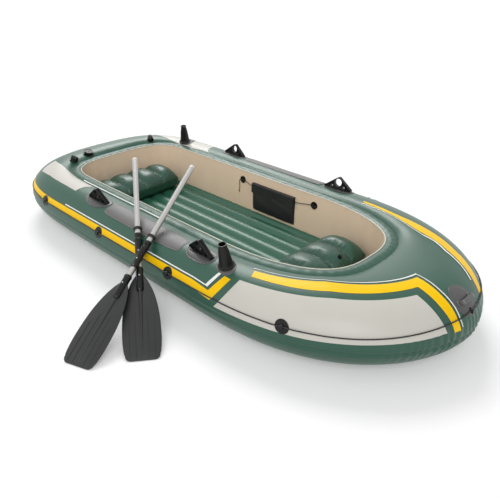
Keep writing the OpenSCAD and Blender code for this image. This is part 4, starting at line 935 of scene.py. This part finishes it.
def bridge(lift, hole=0.0036, r=0.0075):
    """The arch that the line runs through, with a web across it."""
    arch = pierced([(-r, 0)] + arc((0, lift), r, 180, 0, 12) + [(r, 0)], [((0, lift), hole)], 2 * r, 0.0006)
    web = block((4 * r, 0.005, lift + 0.001), (0, 0, lift / 2), 0.001)
    return joined(moved(arch, Matrix.Rotation(math.radians(90), 4, "X")), web)


def rope_holder(a):
    """A disc with a raised rim and a small arch for the line."""
    v = rope_level(a)
    spot = seat(a, v)
    disc = laid_grid(56, 10, lambda s, t: foot_point(s, t, 0.064, 0.064, 2, a, v, spot, DISC, 0.0))
    return moved(joined(disc, bridge(ROPE_LIFT)), spot)


def make_rope_holders():
    stations = [station_of_x(x) for x in HOLDER_X] + [station_of_y(HOLDER_STERN_Y)]
    for side, word in SIDES:
        piece(f"rope_holder_discs_{word}", joined(*[rope_holder(side * a) for a in stations]), moulded_black,
              nodes=[f"rope_holders_{word}"])


make_grab_line()
make_rope_holders()

# ---- Bow handle and stern fittings --------------------------------------------------------------
HANDLE_IN, MOTOR_Y, MOTOR_IN = 0.062, 0.448, 0.268


def swept(path, width, thick, square=5.0):
    """Sweeps a rounded strap along a path in the YZ plane, its width along X."""
    path = np.array(path, float)
    ahead = unit(np.gradient(path, axis=0))
    up = np.cross([1.0, 0.0, 0.0], ahead)

    def place(s, t):
        i = np.round(s * (len(path) - 1)).astype(int)
        turn = 2 * np.pi * t
        across = width / 2 * power(np.cos(turn), 2 / square)
        return path[i] + np.stack([across, 0 * across, 0 * across], -1) \
            + up[i] * (thick / 2 * power(np.sin(turn), 2 / square))[:, None]
    bm = laid_grid(len(path) - 1, 24, place)
    bmesh.ops.remove_doubles(bm, verts=bm.verts, dist=1e-6)
    bmesh.ops.holes_fill(bm, edges=[e for e in bm.edges if e.is_boundary], sides=30)
    return bm


def make_bow_handle():
    """A strap that arches over a finger gap between two feet."""
    a, v = 0.0, level_of_in(HANDLE_IN, deck_w(0))
    spot = seat(a, v, PATCH_LIFT)
    half, rise, bend = 0.0425, 0.0270, 2 / 4.6
    turn = np.pi * (1 - np.linspace(0.015, 0.985, 61))
    path = np.stack([0 * turn, half * power(np.cos(turn), bend), rise * power(np.sin(turn), bend)], -1)
    parts = [swept(path, 0.022, 0.0055)]
    per_along, _ = metric(a, v)
    for at in (-0.039, 0.039):
        foot_a = a + at * per_along
        parts.append(laid_grid(40, 7, lambda s, t: foot_point(s, t, 0.026, 0.027, 2.6, foot_a, v, spot)))
    piece("bow_handle_strap", joined(*parts), handle_rubber, nodes=["bow_handle"], place=spot)
    piece("bow_rope_lug_arch", bridge(ROPE_LIFT - PATCH_LIFT), moulded_black, nodes=["bow_rope_lug"],
          place=seat(0, rope_level(0), PATCH_LIFT))


def make_motor_mounts():
    """An eye for a motor bracket's bar, on a waisted block and an oval foot."""
    for side, word in SIDES:
        a = side * station_of_y(MOTOR_Y)
        v = level_of_in(MOTOR_IN, deck_w(a))
        spot = seat(a, v, 0.002)
        eye_at, eye_r, round_r = (0, 0.019), 0.011, 0.016
        waist = [(0.0192, 0.0), (0.0172, 0.004), (0.0162, 0.011)]
        sides = waist + arc(eye_at, round_r, 0, 180, 28) + [(-x, y) for x, y in reversed(waist)]
        eye = pierced(sides, [(eye_at, eye_r)], 0.040, 0.0014)
        foot = laid_grid(64, 8, lambda s, t: foot_point(s, t, 0.048, 0.056, OVAL, a, v, spot, STERN_FOOT,
                                                        SEAT_GAP))
        piece(f"motor_mount_{word}_eye", joined(moved(eye, FLAT_TO_UPRIGHT), foot), moulded_black,
              nodes=[f"motor_mount_{word}"], place=spot)


make_bow_handle()
make_motor_mounts()


# ---- Cushions -----------------------------------------------------------------------------------
PILLOW = {"half_depth": 0.143, "half_len": 0.300, "height": 0.152, "seam": 0.56, "lobes": 4, "channel": 0.34}
PILLOW_SEAM_Z = PILLOW["height"] * (1 - PILLOW["seam"])
CHANNELS_AT = (-0.5, 0.0, 0.5)
# Shares by which the plan narrows towards its ends and its sides
END_NARROWS, SIDE_NARROWS = 0.26, 0.0867
CUSHION_BASE = RIB_CREST + SEAT_GAP
CUSHION_X = {"bow": 0.642, "stern": -0.925}
# The skin stays where the CAD has it round the valve: this far out and across
VALVE_SPOT = (0.7071, 0.25)
FULLNESS, SIM_FRAMES = 0.8, 20


def pillow_point(u, v, top, slack=1.0):
    """The cushion's skin at (u, v) from -1 to 1: crowned over its lobes above the seam, nearly flat below."""
    s = (v + 1) / 2 * PILLOW["lobes"]
    lobe = 2 * np.abs(s - np.floor(s) - 0.5)
    crown = (1 - np.abs(u) ** 2.6) ** 0.62 * (1 - np.abs(v) ** 8) ** 0.5
    crown = crown * (1 - PILLOW["channel"] * lobe ** 2.6 * (1 - np.abs(v) ** 12))
    belly = (1 - np.abs(u) ** 8) ** 0.4 * (1 - np.abs(v) ** 16) ** 0.4
    z = (PILLOW_SEAM_Z + PILLOW["height"] * PILLOW["seam"] * crown * slack if top
         else PILLOW_SEAM_Z * (1 - belly))
    return np.stack([PILLOW["half_depth"] * u * np.sqrt(1 - END_NARROWS * v * v),
                     PILLOW["half_len"] * v * np.sqrt(1 - SIDE_NARROWS * u * u), z], -1)


def uv_of(co):
    """The (u, v) of each point of a cushion's skin, found by repeated correction."""
    u = v = 0
    for _ in range(4):
        u = np.clip(co[:, 0] / (PILLOW["half_depth"] * np.sqrt(1 - END_NARROWS * v * v)), -1, 1)
        v = np.clip(co[:, 1] / (PILLOW["half_len"] * np.sqrt(1 - SIDE_NARROWS * u * u)), -1, 1)
    return u, v


def coordinates(mesh):
    co = np.empty(len(mesh.vertices) * 3)
    mesh.vertices.foreach_get("co", co)
    return co.reshape(-1, 3)


def evaluated(obj):
    bpy.context.view_layer.update()
    return bpy.data.meshes.new_from_object(obj.evaluated_get(bpy.context.evaluated_depsgraph_get()))


def dropped(obj):
    bpy.data.objects.remove(obj, do_unlink=True)


def swollen(mesh):
    """Blows the pillow up as cloth, held along its seam, its channels and its base."""
    obj = link_object("cushion_sim", mesh)
    start = coordinates(mesh)
    u, v = uv_of(start)
    edge = np.maximum(np.abs(u), np.abs(v))
    channel = np.min([np.abs(v - at) for at in CHANNELS_AT], 0)
    held = np.maximum.reduce([fade(channel, 0.010, 0.028) * (start[:, 2] > PILLOW_SEAM_Z),
                              fade(start[:, 2], 0.002, 0.010),
                              fade(1 - edge, 0.012, 0.030) * ridge(start[:, 2] - PILLOW_SEAM_Z, 0.008)])
    group = obj.vertex_groups.new(name="held")
    for i, weight in enumerate(held):
        group.add([i], float(weight), "REPLACE")
    cloth = obj.modifiers.new("air", "CLOTH")
    cloth.settings.quality = 5
    cloth.settings.mass = 0.25
    cloth.settings.use_pressure = True
    cloth.settings.uniform_pressure_force = 4.0
    cloth.settings.vertex_group_mass = "held"
    cloth.settings.shrink_min = -0.012
    cloth.settings.bending_stiffness = 6.0
    cloth.settings.effector_weights.gravity = 0.0
    cloth.point_cache.frame_start, cloth.point_cache.frame_end = 1, SIM_FRAMES
    for frame_number in range(1, SIM_FRAMES + 1):
        bpy.context.scene.frame_set(frame_number)
    result = evaluated(obj)
    move = coordinates(result) - start
    far = np.linalg.norm(move, axis=1, keepdims=True)
    cap, share = 0.012, 0.6
    end = start + share * move * np.minimum(1, cap / np.maximum(far, 1e-9))
    bpy.context.scene.frame_set(1)
    dropped(obj)
    result.vertices.foreach_set("co", end.ravel())
    return result


def cushion_mesh():
    """One pillow, blown up and then puckered along its welds. It stands on its base, round the origin."""
    def skin(top):
        return lambda s, t: pillow_point(np.sin(np.pi * (s - 0.5)), np.sin(np.pi * (t - 0.5)), top, 0.95)
    bm = joined(laid_grid(60, 120, skin(True)), laid_grid(60, 120, skin(False)))
    bmesh.ops.remove_doubles(bm, verts=bm.verts, dist=1e-5)
    bmesh.ops.recalc_face_normals(bm, faces=bm.faces)
    mesh = bpy.data.meshes.new("pillow")
    bm.to_mesh(mesh)
    bm.free()
    obj = link_object("pillow", mesh)
    voxel = obj.modifiers.new("voxel", "REMESH")
    voxel.mode, voxel.voxel_size = "VOXEL", 0.006
    mesh = evaluated(obj)
    dropped(obj)
    mesh = swollen(mesh)
    obj = link_object("pillow", mesh)
    obj.modifiers.new("finer", "SUBSURF").levels = 1
    mesh = evaluated(obj)
    dropped(obj)
    co = coordinates(mesh)
    normals = np.array([vert.normal[:] for vert in mesh.vertices])
    u, v = uv_of(co)
    above = np.clip((co[:, 2] - PILLOW_SEAM_Z) / 0.02, 0, 1)
    pleat = np.zeros(len(co))
    for at, phase in zip(CHANNELS_AT, (0.3, 1.9, 4.0)):
        gap = np.abs(v - at) * PILLOW["half_len"]
        wave = np.sin(co[:, 0] * 2 * np.pi / 0.034 + phase + 1.3 * np.sin(co[:, 0] * 61 + phase))
        pleat += 0.0010 * wave * ridge(gap - 0.010, 0.018) * above
        pleat += -0.0024 * ridge(gap, 0.006) * above
    round_ = np.arctan2(co[:, 1] / PILLOW["half_len"], co[:, 0] / PILLOW["half_depth"])
    rim_wave = np.sin(round_ * 62 + 1.8 * np.sin(round_ * 11)) * (0.7 + 0.3 * np.sin(round_ * 7 + 1))
    rim = np.exp(-np.abs(co[:, 2] - PILLOW_SEAM_Z) / 0.020) * np.clip(co[:, 2] / 0.02, 0, 1)
    far_out = np.clip((np.maximum(np.abs(u), np.abs(v)) - 0.72) / 0.2, 0, 1)
    pleat += 0.0014 * rim_wave * rim * far_out - 0.0022 * ridge(co[:, 2] - PILLOW_SEAM_Z, 0.0035) * far_out
    co = co + normals * pleat[:, None]
    for away in (1, -1):
        spot = pillow_point(np.array([VALVE_SPOT[0]]), np.array([away * VALVE_SPOT[1]]), True)[0]
        near = fade(np.linalg.norm(co - spot, axis=1), 0.016, 0.045)
        true = pillow_point(u, v, True)
        co[:, 2] += np.where(co[:, 2] > PILLOW_SEAM_Z, near * (true[:, 2] - 0.0004 - co[:, 2]), 0)
    co[:, 2] = np.maximum(co[:, 2], 0.0)
    mesh.vertices.foreach_set("co", co.ravel())
    return mesh


def rim_path(count):
    """The seam line's points in plan, evenly spaced."""
    t = np.linspace(-1, 1, 200)
    walk = [(t, -1 + 0 * t), (1 + 0 * t, t), (-t, 1 + 0 * t), (-1 + 0 * t, -t)]
    u, v = (np.concatenate([leg[i] for leg in walk]) for i in (0, 1))
    loop = pillow_point(u, v, False)[:, :2]
    run = np.concatenate([[0], np.cumsum(np.linalg.norm(np.diff(loop, axis=0), axis=1))])
    at = np.linspace(0, run[-1], count, endpoint=False)
    return np.stack([np.interp(at, run, loop[:, i]) for i in (0, 1)], -1)


def weld_flange():
    """The flat welded edge round the cushion."""
    loop = rim_path(300)
    for _ in range(4):
        loop = (np.roll(loop, 1, 0) + 2 * loop + np.roll(loop, -1, 0)) / 4
    ahead = unit(np.roll(loop, -1, 0) - np.roll(loop, 1, 0))
    out = np.stack([ahead[:, 1], -ahead[:, 0]], -1)

    def place(s, t):
        i = np.round(s * len(loop)).astype(int) % len(loop)
        reach = -0.006 + 0.011 * t
        wave = 0.0010 * np.sin(i * 2 * np.pi / 12) * t
        return np.concatenate([loop[i] + out[i] * reach[:, None], (PILLOW_SEAM_Z + wave)[:, None]], -1)
    bm = laid_grid(len(loop), 4, place)
    bmesh.ops.remove_doubles(bm, verts=bm.verts, dist=1e-6)
    bmesh.ops.recalc_face_normals(bm, faces=bm.faces)
    bmesh.ops.solidify(bm, geom=bm.faces[:], thickness=0.0011)
    return bm


def make_cushions():
    master = cushion_mesh()
    for word, x in CUSHION_X.items():
        place = Matrix.Translation((x, 0, CUSHION_BASE))
        if word == "stern":
            place = place @ Matrix.Rotation(math.pi, 4, "Z")
        bm = bmesh.new()
        bm.from_mesh(master)
        body = word + "_cushion"
        pad = piece(body + "_pillow", bm, cushion_vinyl, body, [body], place, 80)
        piece(body + "_flange", weld_flange(), cushion_vinyl, body, place=place)


make_cushions()


# ---- Pouch, its flap and its cords --------------------------------------------------------------
POUCH_X, POUCH_Z, POUCH_BACK, POUCH_DEPTH = (-0.155, 0.190), (0.064, 0.250), 0.3824, 0.0150
# The filled bag bulges by this share more below its middle
POUCH_BULGE = 0.55
POUCH_WIDE, POUCH_TALL = POUCH_X[1] - POUCH_X[0], POUCH_Z[1] - POUCH_Z[0]
FLAP_TOP, FLAP_OVER, FLAP_DROP = 0.2513, 0.0183, 0.0642


def pouch_point(s, t):
    """A bag with a back (t 0 to 0.5, from the mouth down) and a front (0.5 to 1), sewn along its sides."""
    aside = np.abs(2 * s - 1)
    up = np.abs(2 * t - 1)
    sides = (1 - aside ** 7) ** 0.5
    full = 1 + POUCH_BULGE * np.sin(np.pi * np.clip(up / 0.8, 0, 1))
    gap = POUCH_DEPTH * sides * (1 - (1 - up) ** 7) ** 0.5 * full
    pulls = 0.0012 * np.sin(s * 21 + 3 * up) * sides * (1 - up) + 0.0010 * np.sin(s * 9 + up * 14) * sides
    z = POUCH_Z[0] + POUCH_TALL * up + 0.004 * aside ** 6 * (1 - up)
    y = POUCH_BACK - np.where(t > 0.5, gap + pulls * np.clip((1 - up) * 2.5, 0, 1), 0)
    return np.stack([POUCH_X[0] + POUCH_WIDE * s, y, z], -1)


def flap_point(s, t):
    """The flap from its seam at the wall, over the mouth and down the front, its forward corner lifted."""
    turn_r = 0.005
    reach = FLAP_OVER + FLAP_DROP - turn_r * (2 - math.pi / 2)
    aside = np.abs(2 * s - 1)
    run = reach * t * (1 - 0.10 * aside ** 16)
    over, bend = FLAP_OVER - turn_r, turn_r * math.pi / 2
    angle = np.clip((run - over) / turn_r, 0, math.pi / 2)
    down = np.maximum(run - over - bend, 0)
    y = POUCH_BACK - np.minimum(run, over) - turn_r * np.sin(angle)
    z = FLAP_TOP - turn_r * (1 - np.cos(angle)) - down
    loose = down / FLAP_DROP
    corner = np.clip((s - 0.80) / 0.2, 0, 1)
    y = y - loose * (0.0012 + 0.0010 * np.sin(s * 17 + 1)) - 0.012 * corner ** 2 * loose ** 2
    z = z + 0.0012 * np.sin(s * 13) * (1 - loose) * np.clip(t * 6, 0, 1) * 0.5
    return np.stack([POUCH_X[0] + POUCH_WIDE * s, y, z], -1)


def sheet_piece(name, bm, body, node, thick):
    obj = piece(name, bm, cloth_black, body, [node], smooth=60)
    cloth = obj.modifiers.new("cloth", "SOLIDIFY")
    cloth.thickness, cloth.offset = thick, 0.0
    return obj


def hem(name, path, body):
    """A folded and stitched edge: a narrow flat strip along the sheet's border."""
    bm = tube_round(path, 0.0014, 8)
    return piece(name, bm, cloth_black, body, smooth=80)


def make_pouch():
    bag = sheet_piece("pouch_bag", laid_grid(90, 72, pouch_point), "hull", "pouch", 0.0012)
    leg = np.linspace(0.25, 0.99, 20)
    border = ([(0.003, t) for t in leg] + [(s, 0.995) for s in np.linspace(0, 1, 60)]
              + [(0.997, t) for t in leg[::-1]])
    edge = np.array([flap_point(np.array([s]), np.array([t]))[0] for s, t in border])
    flap = sheet_piece("pouch_flap_sheet", laid_grid(96, 32, flap_point), "pouch_flap", "pouch_flap", 0.0014)
    hem_piece = hem("pouch_flap_hem", edge, "pouch_flap")


HOLDER_Z, HOLDER_LEAN, HOLDER_WALL_Y = 0.243, 2.07, 0.3854
CORD_D, CORD_LIFT = 0.004, 0.0078
CORD_Y = HOLDER_WALL_Y - SEAT_GAP - CORD_LIFT


def on_wall(x):
    return (Matrix.Translation((x, HOLDER_WALL_Y - SEAT_GAP, HOLDER_Z))
            @ Matrix.Rotation(math.radians(90 - HOLDER_LEAN), 4, "X"))


def pouch_holder(x, end):
    """A welded disc with a raised rim and an arch that the cord runs through."""
    disc = lathe(in_metres([(0, 3), (19.2, 3), (20.2, 3.6), (20.6, 4.8), (21.6, 5), (22.4, 4.6), (23, 3.4),
                            (23, 0), (0, 0)]))
    arch = moved(bridge(CORD_LIFT, 0.0028, 0.0058), Matrix.Rotation(math.radians(90), 4, "Z"))
    piece(f"pouch_holder_{end}_disc", joined(disc, arch), moulded_black, nodes=[f"pouch_holder_{end}"],
          place=on_wall(x))


def smooth_route(points, count):
    """A curve through the points, as evenly spaced points."""
    p = np.array(points, float) * MM
    p = np.concatenate([[2 * p[0] - p[1]], p, [2 * p[-1] - p[-2]]])
    curve = []
    for i in range(1, len(p) - 2):
        for f in np.linspace(0, 1, 24, endpoint=i == len(p) - 3):
            curve.append(0.5 * (2 * p[i] + (p[i + 1] - p[i - 1]) * f
                                + (2 * p[i - 1] - 5 * p[i] + 4 * p[i + 1] - p[i + 2]) * f ** 2
                                + (3 * p[i] - p[i - 1] - 3 * p[i + 1] + p[i + 2]) * f ** 3))
    curve = np.array(curve)
    for _ in range(6):
        curve[1:-1] = (curve[:-2] + 2 * curve[1:-1] + curve[2:]) / 4
    run = np.concatenate([[0], np.cumsum(np.linalg.norm(np.diff(curve, axis=0), axis=1))])
    at = np.linspace(0, run[-1], count)
    return np.stack([np.interp(at, run, curve[:, i]) for i in range(3)], -1), float(run[-1])


def knot(end, ahead):
    """Two turns of the cord round itself, with a short tail."""
    ahead = unit(np.array(ahead, float))
    side = unit(np.cross(ahead, [0, 1, 0]))
    up = np.cross(ahead, side)
    turn = np.linspace(0, 5.2 * math.pi, 60)
    radius = 0.0025 * np.minimum(1, 0.25 + turn / 3) * np.minimum(1, 0.2 + (turn[-1] - turn) / 2.2)
    along = 0.0016 * np.sin(turn * 0.31) + turn / turn[-1] * 0.0075
    out = side * np.cos(turn)[:, None] + up * np.sin(turn)[:, None]
    path = end + ahead * along[:, None] + out * radius[:, None]
    tail = path[-1] + ahead * np.linspace(0.002, 0.007, 4)[:, None]
    return tube_round(np.concatenate([path, tail]), CORD_D / 2 * 0.92, 10)


def make_pouch_cords():
    starts = {"fwd": 190.3, "aft": -155.3}
    y = CORD_Y / MM
    routes = {
        "fwd": [(starts["fwd"], 374.7, 222), (311, y, 243), (331, y, 243), (343, y, 243)],
        "aft": [(starts["aft"], 374.7, 222), (-231, y, 243), (-251, y, 243), (-263, y, 243), (-271, y, 240),
                (-276, y, 233), (-277, y, 213), (-276, y, 188), (-278, y, 163)],
    }
    for end, lay in (("fwd", "taut"), ("aft", "hanging")):
        path, length = smooth_route(routes[end], 40)
        cord = piece(f"pouch_cord_{end}_line", tube_round(path, CORD_D / 2, 10), cord_brown,
                     nodes=[f"pouch_cord_{end}"], smooth=80)
        tie = piece(f"pouch_cord_{end}_knot", knot(path[-1], path[-1] - path[-2]), cord_brown,
                    smooth=80)


pouch_holder(0.331, "fwd")
pouch_holder(-0.251, "aft")
make_pouch()
make_pouch_cords()


# ---- Oars ---------------------------------------------------------------------------------------
# Each oar: tip in plan, the way it points and its lean in degrees. It is drawn upright on its tip, its
# blade square to X. The profiles below are in mm.
OARS = {"lower": ((0.493, -1.003), 143.5, 25.787), "upper": ((0.319, -1.228), 110.7, 25.838)}
BLADE_T = 0.005
BLADE_TIP, BLADE_HALF, BLADE_WIDEST, BLADE_SHOULDER, TIP_R = 75, 88, 120, 455, 26
# The plate is pierced inside its socket, where the snap button is pressed in
BLADE_BUTTON_Z, BLADE_BUTTON_R = 0.4332, 0.011


def blade_half(z):
    if z <= BLADE_WIDEST:
        return BLADE_TIP + (BLADE_HALF - BLADE_TIP) * math.sin(math.radians(90 * z / BLADE_WIDEST))
    return BLADE_HALF * (1 - ((z - BLADE_WIDEST) / (BLADE_SHOULDER - BLADE_WIDEST)) ** 2.4) ** 0.71


def oar_place(name):
    (x, y), turn, lean = OARS[name]
    return (Matrix.Translation((x, y, BLADE_T / 2 * math.cos(math.radians(lean))))
            @ Matrix.Rotation(math.radians(turn), 4, "Z") @ Matrix.Rotation(math.radians(90 - lean), 4, "Y"))


def blade():
    """A thin moulded plate with a tapering spine and two ribs on each side of it."""
    turns = [math.radians(t) for t in range(0, 91, 9)]
    corner = [(BLADE_TIP + 2 - TIP_R * (1 - math.sin(t)), TIP_R * (1 - math.cos(t))) for t in turns]
    edge = corner + [(blade_half(z), z) for z in range(38, 452, 9)] + [(5, 454)]
    loop = in_metres(edge + [(-x, z) for x, z in reversed(edge)])
    plate = moved(pierced(loop, [((0, BLADE_BUTTON_Z), BLADE_BUTTON_R)], BLADE_T, 0.0014), FLAT_TO_UPRIGHT)
    spine = lathe(in_metres([(0, 18), (2.4, 18.6), (3.1, 22), (10.7, 349), (0, 349)]), 32)
    ribs = [block((BLADE_T + 0.0032, 0.003, run), (0, side * at, 0.010 + run / 2), 0.0008)
            for at, run in ((0.0282, 0.250), (0.0563, 0.200)) for side in (-1, 1)]
    return joined(plate, spine, *ribs)


SOCKET = [(9.5, 347), (11.2, 348.6), (17.3, 358.6), (18.2, 361.5), (18.2, 468.4), (18.9, 469.2),
          (19.7, 470.6), (19.7, 475.4), (18.9, 476.8), (18.2, 477.6), (18.2, 480.6), (17.5, 482), (14.9, 482),
          (14.7, 480)]
SLEEVE = [(14.7, 532), (14.9, 530), (17.9, 530), (18.4, 530.8), (18.4, 535.2), (17.8, 536.2), (17.4, 537),
          (17.4, 644), (17.9, 645.2), (19.9, 645.7), (20.4, 646.6), (20.4, 650), (19.9, 650.9), (17.9, 651.4),
          (17.4, 652.6), (17.4, 679.6), (17.9, 680.4), (18.4, 681.3), (18.4, 685.7), (17.9, 686.5),
          (17.4, 687.2), (17.4, 688.8), (16.7, 690), (14.9, 690), (14.7, 688)]
RING = [(14.8, -8), (18, -8), (18.5, -7.4), (18.5, -2.6), (19.3, -1.7), (22.3, -0.4), (23, 0.5), (23, 3.4),
        (22.4, 4), (19.4, 4.2), (18.5, 5), (18.5, 7.4), (18, 8), (14.8, 8), (14.8, -8)]
CAP = [(0, 1208), (14.3, 1208), (14.5, 1208.6), (14.5, 1213.6), (13.9, 1216.4), (12.3, 1218.6), (9.5, 1219.8),
       (0, 1220)]
RING_Z, SHAFT_R = 722, 14.5
# Where the two tubes begin and end: they meet inside the sleeve
LOWER_TUBE, UPPER_TUBE = (366.3, 609.7), (610, 1208)


def make_oars():
    for name in OARS:
        place, body = oar_place(name), name + "_oar"

        def on_oar(what, profile, material, node=None, rides=body):
            piece(f"{body}_{what}", lathe(in_metres(profile)), material, rides, [node] if node else (),
                  place, 40)

        def tube_of(span):
            return [(0, span[0]), (SHAFT_R, span[0]), (SHAFT_R, span[1]), (0, span[1])]
        piece(body + "_blade_plate", blade(), blade_plastic, body, [body + "_blade"], place,
              30)
        on_oar("socket", SOCKET, sleeve_plastic)
        on_oar("lower_tube", tube_of(LOWER_TUBE), shaft_metal, body + "_shaft_lower")
        on_oar("upper_tube", tube_of(UPPER_TUBE), shaft_metal, body + "_shaft_upper")
        on_oar("joining_sleeve", SLEEVE, sleeve_plastic, body + "_sleeve")
        ring = body + "_drip_ring"
        on_oar("soft_drip_ring", [(r, RING_Z + z) for r, z in RING], ring_rubber, ring, ring)
        on_oar("domed_cap", CAP, cap_white, body + "_end_cap")


make_oars()

# The moulded pieces that keep their CAD solids
CARRIED = {
    moulded_black: ["valve_base", "valve_insert", "valve_cap"],
    cap_black: ["floor_valve_base", "floor_valve_plug"]
    + [f"{cushion}_cushion_{part}" for cushion in ("bow", "stern") for part in ("valve", "plug")],
    button_steel: [f"{oar}_oar_{part}_button" for oar in OARS for part in ("blade", "sleeve")],
}
for material, names in CARRIED.items():
    for name in names:
        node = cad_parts[name]
        node.data.materials.clear()
        node.data.materials.append(material)
